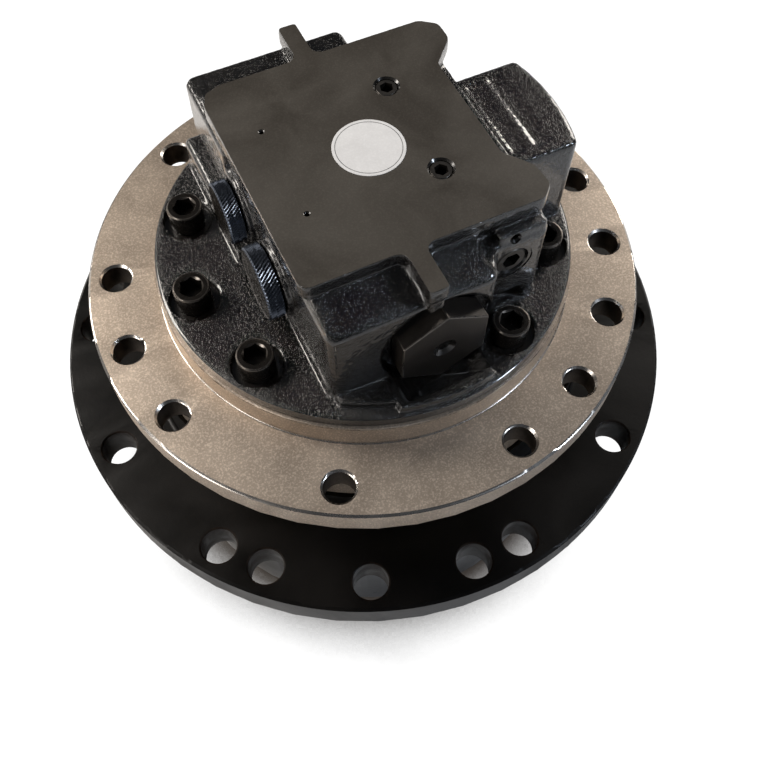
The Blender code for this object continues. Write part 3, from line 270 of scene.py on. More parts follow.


# cover paint: the light flecks in its colour are painted glints of the orange-peel skin; the rest of the mix
# is handling marks
coverPaintAndGlintLook = {
    "dark": (0.0018, 0.0015, 0.0013), "light": (0.013, 0.0105, 0.008), "smooth": 0.10, "rough": 0.24,
    "coat": 1.0, "specular": 0.60, "lumps": 700.0, "pits": 2000.0, "pitShare": 0.5, "markScale": 60.0,
    "fleckAndGlintScale": 760.0, "fleckAndGlintShare": 0.9, "bump": 1.0, "depth": 0.0006,
}
plateLook = {
    "dark": (0.040, 0.034, 0.027), "light": (0.074, 0.065, 0.053), "smooth": 0.42, "rough": 0.58,
    "coat": 0.0, "lumps": 700.0, "pits": 3600.0, "pitShare": 0.5, "markScale": 22.0,
    "fleckAndGlintScale": 1300.0, "fleckAndGlintShare": 0.35, "bump": 0.20, "depth": 0.0002,
}
borePaintLook = {
    "dark": (0.004, 0.0035, 0.003), "light": (0.016, 0.014, 0.012), "smooth": 0.16, "rough": 0.30,
    "coat": 0.4, "lumps": 300.0, "pits": 1800.0, "pitShare": 0.3, "markScale": 60.0,
    "fleckAndGlintScale": 1200.0, "fleckAndGlintShare": 0.3, "bump": 0.10, "depth": 0.0002,
}
hubPaintLook = {
    "dark": (0.0010, 0.0008, 0.0006), "light": (0.0050, 0.0036, 0.0026), "smooth": 0.30, "rough": 0.48,
    "coat": 0.0, "specular": 0.24, "lumps": 500.0, "pits": 2200.0, "pitShare": 0.5, "markScale": 16.0,
    "fleckAndGlintScale": 1000.0, "fleckAndGlintShare": 0.3, "bump": 0.20, "depth": 0.0002,
}
flangeLook = {
    "metallic": 0.76, "dark": (0.34, 0.275, 0.215), "light": (0.84, 0.715, 0.595), "smooth": 0.36,
    "rough": 0.56, "lines": 2600.0, "mottle": 46.0, "bump": 0.30, "depth": 0.00012,
    "fleckAndGlintScale": 1300.0, "fleckAndGlintShare": 0.45,
}
groundSteelLook = {
    "metallic": 1.0, "dark": (0.42, 0.42, 0.43), "light": (0.62, 0.62, 0.62), "smooth": 0.22,
    "rough": 0.38, "lines": 3000.0, "mottle": 80.0, "bump": 0.12, "depth": 0.0001,
}
gearSteelLook = {
    "metallic": 1.0, "dark": (0.24, 0.23, 0.22), "light": (0.40, 0.39, 0.37), "smooth": 0.32,
    "rough": 0.50, "lines": 2600.0, "mottle": 90.0, "bump": 0.18, "depth": 0.0001,
}
screwLook = {
    "metallic": 0.7, "dark": (0.010, 0.009, 0.008), "light": (0.060, 0.052, 0.045), "smooth": 0.18,
    "rough": 0.34, "lines": 3200.0, "mottle": 160.0, "bump": 0.10, "depth": 0.0001,
}
# a lighter copy of the screw finish: painted highlight on screw rounds, socket mouths and cap edges
screwEdgeHighlightLook = {
    "metallic": 0.9, "dark": (0.10, 0.09, 0.08), "light": (0.26, 0.235, 0.21), "smooth": 0.20,
    "rough": 0.36, "lines": 3200.0, "mottle": 200.0, "bump": 0.10, "depth": 0.0001,
}
# a lighter finish for the chamfer round the plate: painted highlight
plateEdgeHighlightLook = {
    "metallic": 0.6, "dark": (0.13, 0.115, 0.095), "light": (0.30, 0.27, 0.235), "smooth": 0.26,
    "rough": 0.42, "lines": 2000.0, "mottle": 140.0, "bump": 0.10, "depth": 0.0001,
}
capFaceLook = {
    "metallic": 0.5, "dark": (0.018, 0.015, 0.013), "light": (0.055, 0.047, 0.040), "smooth": 0.26,
    "rough": 0.44, "lines": 1600.0, "mottle": 90.0, "bump": 0.12, "depth": 0.0001,
}
blueCapLook = {
    "metallic": 0.9, "dark": (0.050, 0.060, 0.080), "light": (0.20, 0.235, 0.30), "smooth": 0.18,
    "rough": 0.32, "lines": 1800.0, "mottle": 120.0, "bump": 0.10, "depth": 0.0001,
}
plugLook = {
    "metallic": 0.8, "dark": (0.035, 0.033, 0.030), "light": (0.12, 0.11, 0.10), "smooth": 0.30,
    "rough": 0.50, "lines": 1800.0, "mottle": 120.0, "bump": 0.10, "depth": 0.0001,
}
bronzeLook = {
    "metallic": 1.0, "dark": (0.42, 0.25, 0.10), "light": (0.62, 0.41, 0.19), "smooth": 0.26,
    "rough": 0.44, "lines": 3000.0, "mottle": 90.0, "bump": 0.12, "depth": 0.0001,
}
# a darker copy of the flange steel: painted shade inside the threaded holes
shadedHoleSteelLook = {
    "metallic": 0.85, "dark": (0.030, 0.024, 0.020), "light": (0.17, 0.14, 0.115), "smooth": 0.34,
    "rough": 0.60, "lines": 2600.0, "mottle": 160.0, "bump": 0.15, "depth": 0.0001,
}
holePaintLook = {
    "dark": (0.0030, 0.0020, 0.0014), "light": (0.018, 0.011, 0.007), "smooth": 0.34, "rough": 0.60,
    "coat": 0.0, "specular": 0.12, "lumps": 500.0, "pits": 2200.0, "pitShare": 0.5, "markScale": 90.0,
    "fleckAndGlintScale": 1000.0, "fleckAndGlintShare": 0.3, "bump": 0.20, "depth": 0.0002,
}
# a lighter, glossier copy of the flange steel: painted highlight on the flange chamfers and hole mouths
chamferHighlightLook = {
    "metallic": 1.0, "dark": (0.50, 0.46, 0.42), "light": (0.74, 0.71, 0.67), "smooth": 0.20,
    "rough": 0.34, "lines": 3200.0, "mottle": 120.0, "bump": 0.10, "depth": 0.0001,
}
liningLook = {
    "dark": (0.10, 0.07, 0.05), "light": (0.17, 0.12, 0.09), "smooth": 0.75, "rough": 0.92,
    "coat": 0.0, "lumps": 1500.0, "pits": 4000.0, "pitShare": 0.8, "markScale": 60.0,
    "fleckAndGlintScale": 1500.0, "fleckAndGlintShare": 0.5, "bump": 0.4, "depth": 0.0003,
}
rubberLook = {
    "dark": (0.012, 0.012, 0.012), "light": (0.024, 0.024, 0.024), "smooth": 0.55, "rough": 0.75,
    "coat": 0.0, "lumps": 1200.0, "pits": 3000.0, "pitShare": 0.3, "markScale": 60.0,
    "fleckAndGlintScale": 1200.0, "fleckAndGlintShare": 0.3, "bump": 0.15, "depth": 0.0002,
}
stickerLook = {
    "dark": (0.80, 0.79, 0.78), "light": (0.90, 0.89, 0.88), "smooth": 0.34, "rough": 0.46,
    "coat": 0.2, "lumps": 160.0, "pits": 2500.0, "pitShare": 0.1, "markScale": 120.0,
    "fleckAndGlintScale": 900.0, "fleckAndGlintShare": 0.4, "bump": 0.10, "depth": 0.0003,
}
stickerRimLook = dict(stickerLook, dark=(0.20, 0.20, 0.20), light=(0.32, 0.32, 0.31))

coverPaint = castFinish("coverPaint", coverPaintAndGlintLook)
machinedPlate = castFinish("machinedPlate", plateLook)
hubPaint = castFinish("hubPaint", hubPaintLook)
flangeSteel = turnedFinish("flangeSteel", flangeLook)
groundSteel = turnedFinish("groundSteel", groundSteelLook)
gearSteel = turnedFinish("gearSteel", gearSteelLook)
screwBlack = turnedFinish("screwBlack", screwLook)
blueCap = turnedFinish("blueCap", blueCapLook)
bronzeFinish = turnedFinish("bronzeFinish", bronzeLook)
shadedHoleSteel = turnedFinish("shadedHoleSteel", shadedHoleSteelLook)
chamferHighlight = turnedFinish("chamferHighlight", chamferHighlightLook)
borePaint = castFinish("borePaint", borePaintLook)
capFace = turnedFinish("capFace", capFaceLook)
holePaint = castFinish("holePaint", holePaintLook)
plugSteel = turnedFinish("plugSteel", plugLook)
screwEdgeHighlight = turnedFinish("screwEdgeHighlight", screwEdgeHighlightLook)
plateEdgeHighlight = turnedFinish("plateEdgeHighlight", plateEdgeHighlightLook)
brakeLining = castFinish("brakeLining", liningLook)
blackRubber = castFinish("blackRubber", rubberLook)
stickerPaper = castFinish("stickerPaper", stickerLook)
stickerRim = castFinish("stickerRim", stickerRimLook)
print("materials built")


# tools for making pieces

weldDistance = 0.000002
slopeRange = (0.3, 0.95)


def newPiece(name, mesh, *materials):
    piece = bpy.data.objects.new(name, mesh)
    scene.collection.objects.link(piece)
    for material in materials:
        mesh.materials.append(material)
    return piece


def meshFrom(work, name):
    mesh = bpy.data.meshes.new(name)
    bmesh.ops.recalc_face_normals(work, faces=work.faces)
    work.to_mesh(mesh)
    work.free()
    return mesh


def spin(name, profile, steps, *materials):
    # profile: (radius, height) pairs down the outside; a radius of 0 closes on the axis
    work = bmesh.new()
    rings = []
    for radius, height in profile:
        if radius == 0:
            rings.append([work.verts.new((0, 0, height))])
            continue
        turns = [2 * math.pi * step / steps for step in range(steps)]
        rings.append([work.verts.new((radius * math.cos(turn), radius * math.sin(turn), height))
                      for turn in turns])
    pairs = list(zip(rings, rings[1:]))
    if profile[0][0] or profile[-1][0]:
        pairs.append((rings[-1], rings[0]))
    for upper, lower in pairs:
        for step in range(steps):
            after = (step + 1) % steps
            corners = [upper[step % len(upper)], upper[after % len(upper)],
                       lower[after % len(lower)], lower[step % len(lower)]]
            corners = list(dict.fromkeys(corners))
            if len(corners) > 2:
                work.faces.new(corners)
    return newPiece(name, meshFrom(work, name), *materials)


def prism(name, outline, low, high, *materials):
    work = bmesh.new()
    face = work.faces.new([work.verts.new((x, y, low)) for x, y in outline])
    grown = bmesh.ops.extrude_face_region(work, geom=[face])
    raised = [item for item in grown["geom"] if isinstance(item, bmesh.types.BMVert)]
    bmesh.ops.translate(work, verts=raised, vec=(0, 0, high - low))
    return newPiece(name, meshFrom(work, name), *materials)


def copyOfNode(name, *materials):
    work = bmesh.new()
    work.from_mesh(nodes[name].data)
    bmesh.ops.remove_doubles(work, verts=work.verts, dist=weldDistance)
    return newPiece(name + "Copy", meshFrom(work, name + "Copy"), *materials)


def settle(piece):
    # applies the modifiers
    bpy.context.view_layer.update()
    graph = bpy.context.evaluated_depsgraph_get()
    mesh = bpy.data.meshes.new_from_object(piece.evaluated_get(graph))
    piece.modifiers.clear()
    piece.data = mesh
    return piece


def combine(piece, tool, operation):
    modifier = piece.modifiers.new(tool.name, "BOOLEAN")
    modifier.operation = operation
    modifier.object = tool
    modifier.material_mode = "TRANSFER"
    settle(piece)
    bpy.data.objects.remove(tool)
    return piece


def place(piece, where, turn=(0, 0, 0)):
    matrix = Matrix.Translation(where)
    for angle, axis in zip(turn, "XYZ"):
        matrix = matrix @ Matrix.Rotation(math.radians(angle), 4, axis)
    piece.data.transform(matrix)
    return piece


def smoothByAngle(piece, degrees=32):
    # broad flat faces keep their own direction right up to a rounded edge
    piece.data.shade_smooth()
    piece.data.set_sharp_from_angle(angle=math.radians(degrees))
    weigh = piece.modifiers.new("flatFaces", "WEIGHTED_NORMAL")
    weigh.keep_sharp = True
    weigh.weight = 100
    return settle(piece)


def polar(radius, degrees):
    return radius * math.cos(math.radians(degrees)), radius * math.sin(math.radians(degrees))


def isSloped(face):
    # neither upright nor level, as the faces of a chamfer are
    return slopeRange[0] < abs(face.normal.z) < slopeRange[1]


def drill(piece, profile, steps, places, material, turn=(0, 0, 0), mouth=None):
    # cuts the same turned hole at several places at once
    # mouth: a material for the sloped faces, and the least area that such a face has
    tools = [place(spin(f"drill{index}", profile, steps), where, turn)
             for index, where in enumerate(places)]
    work = bmesh.new()
    for tool in tools:
        work.from_mesh(tool.data)
        bpy.data.objects.remove(tool)
    mesh = bpy.data.meshes.new("drills")
    if mouth:
        for face in work.faces:
            face.material_index = int(isSloped(face) and face.calc_area() > mouth[1])
    work.to_mesh(mesh)
    work.free()
    materials = (material, mouth[0]) if mouth else (material,)
    return combine(piece, newPiece("drills", mesh, *materials), "DIFFERENCE")


# frame flange: the CAD spindle with a finely turned flange and threaded holes

flange = {
    "steps": 192, "radius": 0.14, "face": 0.188, "under": 0.173, "chamfer": 0.0012,
    "pilotRadius": 0.104, "pilotTop": 0.202, "pilotChamfer": 0.0008, "inner": 0.0965,
    "skirtRadius": 0.118, "skirtFoot": 0.1613, "skirtInner": 0.1135, "groove": 0.0008,
    "holeCircle": 0.126, "holeAngles": (0, 20, 40, 60, 80, 120, 160, 180, 200, 240, 280, 300, 320, 340),
    "holeRadius": 0.0076, "mouthRadius": 0.0087, "threadDepth": 0.0006, "threadPitch": 0.0015,
    "holeSteps": 28, "mouthArea": 0.0000020, "over": 0.002, "skin": 0.00004,
}


def threadedHole(f, top, foot):
    radius, mouth, pitch, depth = f["holeRadius"], f["mouthRadius"], f["threadPitch"], f["threadDepth"]
    profile = [(0, top + f["over"]), (mouth, top + f["over"]), (mouth, top), (radius, top - (mouth - radius))]
    height = top - (mouth - radius) - pitch / 2
    while height > foot - f["over"]:
        profile += [(radius + depth, height), (radius, height - pitch / 2)]
        height -= pitch
    profile.append((0, height + pitch / 2))
    return profile


def buildFlange(f):
    skin, edge, small = f["skin"], f["chamfer"], f["pilotChamfer"]
    rim, pilot, skirt = f["radius"] + skin, f["pilotRadius"] + skin, f["skirtRadius"] + skin
    top, face, under = f["pilotTop"] + skin, f["face"] + skin, f["under"] - skin
    sleeve = spin("flangeSleeve", [
        (f["inner"], top), (pilot - small, top), (pilot, top - small), (pilot, face + f["groove"]),
        (pilot + f["groove"], face), (rim - edge, face), (rim, face - edge), (rim, under + edge),
        (rim - edge, under), (skirt, under), (skirt, f["skirtFoot"]), (f["skirtInner"], f["skirtFoot"]),
        (f["skirtInner"], under + f["over"]), (f["inner"], under + f["over"])],
        f["steps"], flangeSteel, chamferHighlight)
    # the sloped chamfer bands take the painted highlight finish
    for band in sleeve.data.polygons:
        band.material_index = int(isSloped(band))
    piece = combine(copyOfNode("spindle", flangeSteel), sleeve, "UNION")
    hole = threadedHole(f, face, under)
    places = [(*polar(f["holeCircle"], angle), 0) for angle in f["holeAngles"]]
    # the hole mouths take the painted highlight finish, the threads a darker copy of the steel as painted
    # shade
    drill(piece, hole, f["holeSteps"], places, shadedHoleSteel, mouth=(chamferHighlight, f["mouthArea"]))
    piece.name = "frameFlange"
    smoothByAngle(piece)
    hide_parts("spindle")
    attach(piece, "motor_case")


buildFlange(flange)
print("frame flange built")


# sprocket hub: the CAD hub with a finely turned outside and round bolt holes

hub = {
    "steps": 192, "skin": 0.00004, "neckTop": 0.1604, "neckInner": 0.1135, "neckRadius": 0.120,
    "flangeTop": 0.129, "flangeFoot": 0.109, "flangeRadius": 0.166, "chamfer": 0.0015,
    "fillet": 0.003, "drumRadius": 0.126, "drumFoot": 0.0204, "drumInner": 0.1225,
    "holeCircle": 0.1513, "holeRadius": 0.00905, "holeChamfer": 0.0008, "holeSteps": 32,
    "twelveStart": 6.1, "nineStart": 66.1, "neckEdge": 0.001, "wall": 0.004, "over": 0.003,
}


def roundIn(radius, height, reach, steps=5):
    # an inside corner between a wall and a floor, from the wall down to the floor
    points = []
    for step in range(steps + 1):
        turn = math.pi / 2 * step / steps
        points.append((radius + reach * (1 - math.cos(turn)), height + reach * (1 - math.sin(turn))))
    return points


def buildHub(h):
    skin, edge, small, over = h["skin"], h["chamfer"], h["neckEdge"], h["over"]
    rim, neck, drum = h["flangeRadius"] + skin, h["neckRadius"] + skin, h["drumRadius"] + skin
    top, foot = h["flangeTop"] + skin, h["flangeFoot"] - skin
    profile = [(h["neckInner"], h["neckTop"]), (neck - small, h["neckTop"]), (neck, h["neckTop"] - small)]
    profile += roundIn(neck, top, h["fillet"])
    profile += [(rim - edge, top), (rim, top - edge), (rim, foot + edge), (rim - edge, foot),
                (drum, foot), (drum, h["drumFoot"]), (h["drumInner"], h["drumFoot"]),
                (h["drumInner"], foot + h["wall"]), (h["neckInner"], foot + h["wall"])]
    sleeve = spin("hubSleeve", profile, h["steps"], hubPaint)
    piece = combine(copyOfNode("hub_housing", hubPaint), sleeve, "UNION")
    angles = {round(h["twelveStart"] + 30 * k, 1) % 360 for k in range(12)}
    angles |= {round(h["nineStart"] + 40 * k, 1) % 360 for k in range(9)}
    places = [(*polar(h["holeCircle"], angle), 0) for angle in sorted(angles)]
    radius, bevel = h["holeRadius"], h["holeChamfer"]
    hole = [(0, top + over), (radius + bevel, top + over), (radius + bevel, top), (radius, top - bevel),
            (radius, foot + bevel), (radius + bevel, foot), (radius + bevel, foot - over), (0, foot - over)]
    drill(piece, hole, h["holeSteps"], places, holePaint)
    piece.name = "sprocketHub"
    smoothByAngle(piece)
    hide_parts("hub_housing")
    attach(piece, "hub")


buildHub(hub)
print("sprocket hub built")


# rear cover: the CAD casting with rounded cast edges, a sand-cast skin, a milled plate and drilled seats

cover = {
    "voxel": 0.00085, "smoothing": 6, "plateTop": 0.272, "plateStock": 0.0016, "plateZone": 0.0004,
    "roughness": 0.00010, "roughScale": 650.0, "roughBelow": 0.002, "rimWidth": 0.0007,
    "millReach": 0.2, "millHeight": 0.02,
    "discTop": 0.209, "discLow": 0.2023, "discRadius": 0.1025, "discChamfer": 0.0010, "discWidth": 0.006,
    "discSkin": 0.00005, "discSunk": 0.0003, "discSteps": 192,
    "screwCircle": 0.0884, "screwAngles": (180, 148.2, 211.8, 64.8, 295.2, 29.5, 330.5),
    "pocketRadius": 0.01225, "pocketFloor": 0.206, "pocketTop": 0.231, "pocketRound": 0.0005,
    "shankRadius": 0.0063, "through": 0.001,
    "topPlugs": ((0.025, -0.027), (0.025, 0.027)), "plugRadius": 0.0053, "plugMouth": 0.0062,
    "plugDepth": 0.010, "dots": ((-0.0368, -0.0252), (-0.0368, 0.0252)), "dotRadius": 0.0009,
    "dotMouth": 0.0015, "dotDepth": 0.004,
    "pilotPlug": (0.042, -0.066, 0.243), "pilotRadius": 0.0073, "pilotMouth": 0.0084, "pilotSpot": 0.0102,
    "spotDepth": 0.0004, "gaugeHole": (0.042, -0.0652, 0.2588), "gaugeRadius": 0.0019,
    "gaugeMouth": 0.0028, "gaugeDepth": 0.005, "drillTip": 0.0005,
}


def roughen(mesh, setup):
    # small lumps along the normals, on the cast part only
    spots = [vertex.co.copy() for vertex in mesh.vertices]
    normals = [vertex.normal.copy() for vertex in mesh.vertices]
    for index, spot in enumerate(spots):
        if spot.z > setup["discTop"] - setup["roughBelow"]:
            lump = noise.fractal(spot * setup["roughScale"], 0.6, 2.1, 4)
            spot += normals[index] * lump * setup["roughness"]
    mesh.vertices.foreach_set("co", [value for spot in spots for value in spot])
    mesh.update()


def castSkin(name, setup):
    piece = copyOfNode(name, coverPaint)
    for vertex in piece.data.vertices:
        if vertex.co.z > setup["plateTop"] - setup["plateZone"]:
            vertex.co.z += setup["plateStock"]
    remesh = piece.modifiers.new("castSkin", "REMESH")
    remesh.mode = "VOXEL"
    remesh.voxel_size = setup["voxel"]
    soften = piece.modifiers.new("castRounding", "SMOOTH")
    soften.iterations = setup["smoothing"]
    settle(piece)
    roughen(piece.data, setup)
    piece.data.materials.clear()
    piece.data.materials.append(coverPaint)
    return piece


def plateRimHighlight(piece, setup):
    # a narrow chamfer round the milled plate, in a lighter finish that paints a highlight line along the edge
    work = bmesh.new()
    work.from_mesh(piece.data)
    work.normal_update()
    piece.data.materials.append(plateEdgeHighlight)
    rim = [edge for edge in work.edges if len(edge.link_faces) == 2
           and all(abs(vertex.co.z - setup["plateTop"]) < 0.00001 for vertex in edge.verts)
           and min(abs(face.normal.z) for face in edge.link_faces) < slopeRange[1]]
    bmesh.ops.bevel(work, geom=rim, offset=setup["rimWidth"], segments=1, affect="EDGES",
                    clamp_overlap=True, material=len(piece.data.materials) - 1)
    work.to_mesh(piece.data)
    work.free()


def buildCover(c):
    piece = castSkin("rear_cover", c)
    top, low, disc, edge = c["plateTop"], c["discLow"], c["discTop"], c["discChamfer"]
    reach = c["millReach"]
    side = [(-reach, -reach), (reach, -reach), (reach, reach), (-reach, reach)]
    combine(piece, prism("mill", side, top, top + c["millHeight"], machinedPlate), "DIFFERENCE")
    radius, sunk = c["discRadius"] + c["discSkin"], disc - c["discSunk"]
    band = [(radius - c["discWidth"], sunk), (radius - edge, sunk), (radius, disc - edge),
            (radius, low + edge / 2), (radius - edge / 2, low), (radius - c["discWidth"], low)]
    combine(piece, spin("discBand", band, c["discSteps"], coverPaint), "UNION")
    floor, wall, shank, bend = c["pocketFloor"], c["pocketRadius"], c["shankRadius"], c["pocketRound"]
    seats = [(*polar(c["screwCircle"], angle), 0) for angle in c["screwAngles"]]
    pocket = [(0, c["pocketTop"]), (wall, c["pocketTop"]), (wall, floor + bend), (wall - bend, floor),
              (shank, floor), (shank, low - c["through"]), (0, low - c["through"])]
    drill(piece, pocket, 48, seats, borePaint)
    seat, mouth, deep = c["plugRadius"], c["plugMouth"], c["plugDepth"]
    plugSeat = [(0, 0.002), (mouth, 0.002), (mouth, 0), (seat, seat - mouth), (seat, -deep), (0, -deep)]
    drill(piece, plugSeat, 32, [(x, y, top) for x, y in c["topPlugs"]], borePaint)
    dot, rim, end = c["dotRadius"], c["dotMouth"], c["dotDepth"]
    dimple = [(0, 0.001), (rim, 0.001), (rim, 0), (dot, dot - rim), (dot, -end), (0, -end - c["drillTip"])]
    drill(piece, dimple, 20, [(x, y, top) for x, y in c["dots"]], borePaint)
    spot, pilot, rim, sunk = c["pilotSpot"], c["pilotRadius"], c["pilotMouth"], -c["spotDepth"]
    plugSeat = [(0, 0.004), (spot, 0.004), (spot, sunk), (rim, sunk), (pilot, -0.0015),
                (pilot, -deep), (0, -deep)]
    drill(piece, plugSeat, 32, [c["pilotPlug"]], borePaint, (90, 0, 0))
    gauge, rim, end = c["gaugeRadius"], c["gaugeMouth"], c["gaugeDepth"]
    hole = [(0, 0.003), (rim, 0.003), (rim, 0), (gauge, gauge - rim), (gauge, -end),
            (0, -end - c["drillTip"])]
    drill(piece, hole, 20, [c["gaugeHole"]], borePaint, (90, 0, 0))
    plateRimHighlight(piece, c)
    piece.name = "rearCover"
    smoothByAngle(piece, 40)
    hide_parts("rear_cover")
    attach(piece, "motor_case")


buildCover(cover)
print("rear cover built")


# socket screws of the rear cover and bolts of the end cover

coverScrew = {
    "node": "cover_screw_", "circle": 0.0884, "angles": (180, 148.2, 211.8, 64.8, 295.2, 29.5, 330.5),
    "seat": 0.2063, "up": 1, "headRadius": 0.0087, "headHeight": 0.012, "round": 0.0009, "socket": 0.010,
    "socketDepth": 0.0062, "shankRadius": 0.0059, "length": 0.0238, "body": "motor_case",
    "turns": (12, 47, 5, 33, 52, 20, 41),
}
coverBolt = {
    "node": "cover_bolt_", "circle": 0.1155, "angles": tuple(45 * k for k in range(8)),
    "seat": 0.0097, "up": -1, "headRadius": 0.008, "headHeight": 0.009, "round": 0.0008, "socket": 0.008,
    "socketDepth": 0.005, "shankRadius": 0.0049, "length": 0.0235, "body": "hub",
    "turns": (8, 40, 25, 3, 51, 17, 36, 28),
}
screwForm = {
    "foot": 0.0004, "neck": 0.0006, "tip": 0.0008, "over": 0.002, "mouthOut": 0.0011, "mouthIn": 0.0009,
    "mouthHigh": 0.0010, "steps": 56, "mouthSteps": 40, "highlightRange": (0.2, 0.97),
}


def hexagon(acrossFlats, turn=0):
    reach = acrossFlats / math.sqrt(3)
    return [polar(reach, turn + 60 * corner) for corner in range(6)]


def socketScrew(name, s, form):
    head, high, bend, shank = s["headRadius"], s["headHeight"], s["round"], s["shankRadius"]
    foot, neck, tip, length = form["foot"], form["neck"], form["tip"], s["length"]
    profile = [(0, high)]
    for turn in (0, 30, 60, 90):
        angle = math.radians(turn)
        profile.append((head - bend + bend * math.sin(angle), high - bend + bend * math.cos(angle)))
    profile += [(head, foot), (head - foot, 0), (shank + neck, 0), (shank, -neck),
                (shank, tip - length), (shank - tip, -length), (0, -length)]
    screw = spin(name, profile, form["steps"], screwBlack, screwEdgeHighlight)
    # the sloped rounds and chamfers of the head take the painted highlight finish
    for face in screw.data.polygons:
        face.material_index = int(form["highlightRange"][0] < face.normal.z < form["highlightRange"][1])
    outline = hexagon(s["socket"])
    socket = prism("socket", outline, high - s["socketDepth"], high + form["over"], screwBlack)
    combine(screw, socket, "DIFFERENCE")
    # the socket mouth takes the painted highlight finish
    reach, rise = s["socket"] / math.sqrt(3), form["mouthHigh"]
    cone = [(0, high + rise), (reach + form["mouthOut"], high + rise),
            (reach - form["mouthIn"], high - rise), (0, high - rise)]
    combine(screw, spin("mouth", cone, form["mouthSteps"], screwEdgeHighlight), "DIFFERENCE")
    return screw


def buildScrews(s):
    pattern = socketScrew("screwPattern", s, screwForm)
    for number, (angle, turn) in enumerate(zip(s["angles"], s["turns"]), 1):
        screw = newPiece(f"{s['node'].replace('_', '')}{number}", pattern.data.copy())
        matrix = Matrix.Rotation(math.radians(turn), 4, "Z")
        if s["up"] < 0:
            matrix = Matrix.Rotation(math.pi, 4, "X") @ matrix
        matrix = Matrix.Translation((*polar(s["circle"], angle), s["seat"])) @ matrix
        screw.data.transform(matrix)
        smoothByAngle(screw, 30)
        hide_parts(f"{s['node']}{number}")
        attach(screw, s["body"])
    bpy.data.objects.remove(pattern)


buildScrews(coverScrew)
buildScrews(coverBolt)
print("screws built")


# hexagon caps of the spool bore

valveCap = {
    "acrossFlats": 0.041, "seat": 0.0733, "proud": 0.085, "axis": 0.228, "edge": 0.0006,
    "threadRadius": 0.0158, "threadLength": 0.0135, "overlap": 0.002,
    "dimple": 0.0056, "dimpleDepth": 0.0014, "dimpleFloor": 0.55, "over": 0.001,
}


def buildValveCap(name, node, side, v):
    high = v["proud"] - v["seat"]
    cap = prism(name, hexagon(v["acrossFlats"], 90), 0, high, capFace)
    # the bevel faces of the cap edges take the painted highlight finish
    cap.data.materials.append(screwEdgeHighlight)
    soften = cap.modifiers.new("brokenEdges", "BEVEL")
    soften.width = v["edge"]
    soften.material = 1
    soften.segments = 2
    settle(cap)
    dimple, above, floor = v["dimple"], high + v["over"], high - v["dimpleDepth"]
    hollow = [(0, above), (dimple, above), (dimple, high), (dimple * v["dimpleFloor"], floor), (0, floor)]
    # the dimple takes the darker bore paint: painted shade in the dimple
    combine(cap, spin("capDimple", hollow, 40, borePaint), "DIFFERENCE")
    radius, length = v["threadRadius"], v["threadLength"]
    thread = [(0, v["overlap"]), (radius, v["overlap"]), (radius, -length), (0, -length)]
    combine(cap, spin("capThread", thread, 32, plugSteel), "UNION")
    place(cap, (0, side * v["seat"], v["axis"]), (-90 * side, 0, 0))
    smoothByAngle(cap, 20)
    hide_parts(node)
    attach(cap, "motor_case")


buildValveCap("frontHexCap", "valve_cap_front", -1, valveCap)
buildValveCap("backHexCap", "valve_cap_back", 1, valveCap)
print("hexagon caps built")


# knurled caps of the two ports

portCap = {
    "face": -0.0553, "height": 0.008, "level": 0.233, "spread": 0.022, "knurls": 60, "knurlDepth": 0.0006,
    "rows": 16, "slant": 3.0, "edge": 0.0006, "faceWidth": 0.0035, "faceSunk": 0.0006, "levelFrom": 0.9,
}


def ringOf(work, reaches, level):
    # one ring of points, with its own reach for each step
    turns = [2 * math.pi * step / len(reaches) for step in range(len(reaches))]
    return [work.verts.new((reach * math.cos(turn), reach * math.sin(turn), level))
            for reach, turn in zip(reaches, turns)]


def buildPortCap(name, node, side, radius, c):
    # grooves run slantwise up the rim
    steps, rows = c["knurls"] * 6, c["rows"]
    work = bmesh.new()
    rings = []
    for row in range(rows + 1):
        level = c["edge"] + (c["height"] - 2 * c["edge"]) * row / rows
        reaches = []
        for step in range(steps):
            turn = 2 * math.pi * step / steps
            wave = math.cos(c["knurls"] * turn + 2 * math.pi * c["slant"] * row / rows)
            reaches.append(radius - c["knurlDepth"] * (0.5 - 0.5 * wave))
        rings.append(ringOf(work, reaches, level))
    shoulder, face = radius - 2 * c["edge"], radius - c["faceWidth"]
    rings.append(ringOf(work, [shoulder] * steps, c["height"]))
    rings.append(ringOf(work, [face] * steps, c["height"] - c["faceSunk"]))
    rings.insert(0, ringOf(work, [shoulder] * steps, 0))
    for lower, upper in zip(rings, rings[1:]):
        for step in range(steps):
            after = (step + 1) % steps
            work.faces.new([lower[step], lower[after], upper[after], upper[step]])
    work.faces.new(rings[-1])
    work.faces.new(rings[0][::-1])
    bmesh.ops.recalc_face_normals(work, faces=work.faces)
    for face in work.faces:
        face.material_index = int(abs(face.normal.z) > c["levelFrom"])
    cap = newPiece(name, meshFrom(work, name), blueCap, screwBlack)
    place(cap, (c["face"], side * c["spread"], c["level"]), (0, -90, 0))
    smoothByAngle(cap, 40)
    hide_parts(node)
    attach(cap, "motor_case")


buildPortCap("frontPortCap", "port_cap_front", -1, 0.0175, portCap)
buildPortCap("backPortCap", "port_cap_back", 1, 0.0150, portCap)
print("port caps built")


# sunk socket plugs

sunkPlug = {"sunk": 0.0008, "depth": 0.0089, "socket": 0.55, "edge": 0.0005}


def buildPlug(name, node, body, radius, where, turn, p):
    profile = [(0, 0), (radius - p["edge"], 0), (radius, -p["edge"]), (radius, -p["depth"]), (0, -p["depth"])]
    plug = spin(name, profile, 40, plugSteel)
    socket = prism("socket", hexagon(radius * 2 * p["socket"]), -p["depth"] / 2, 0.002, screwBlack)
    combine(plug, socket, "DIFFERENCE")
    place(plug, where, turn)
    smoothByAngle(plug, 30)
    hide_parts(node)
    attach(plug, body)


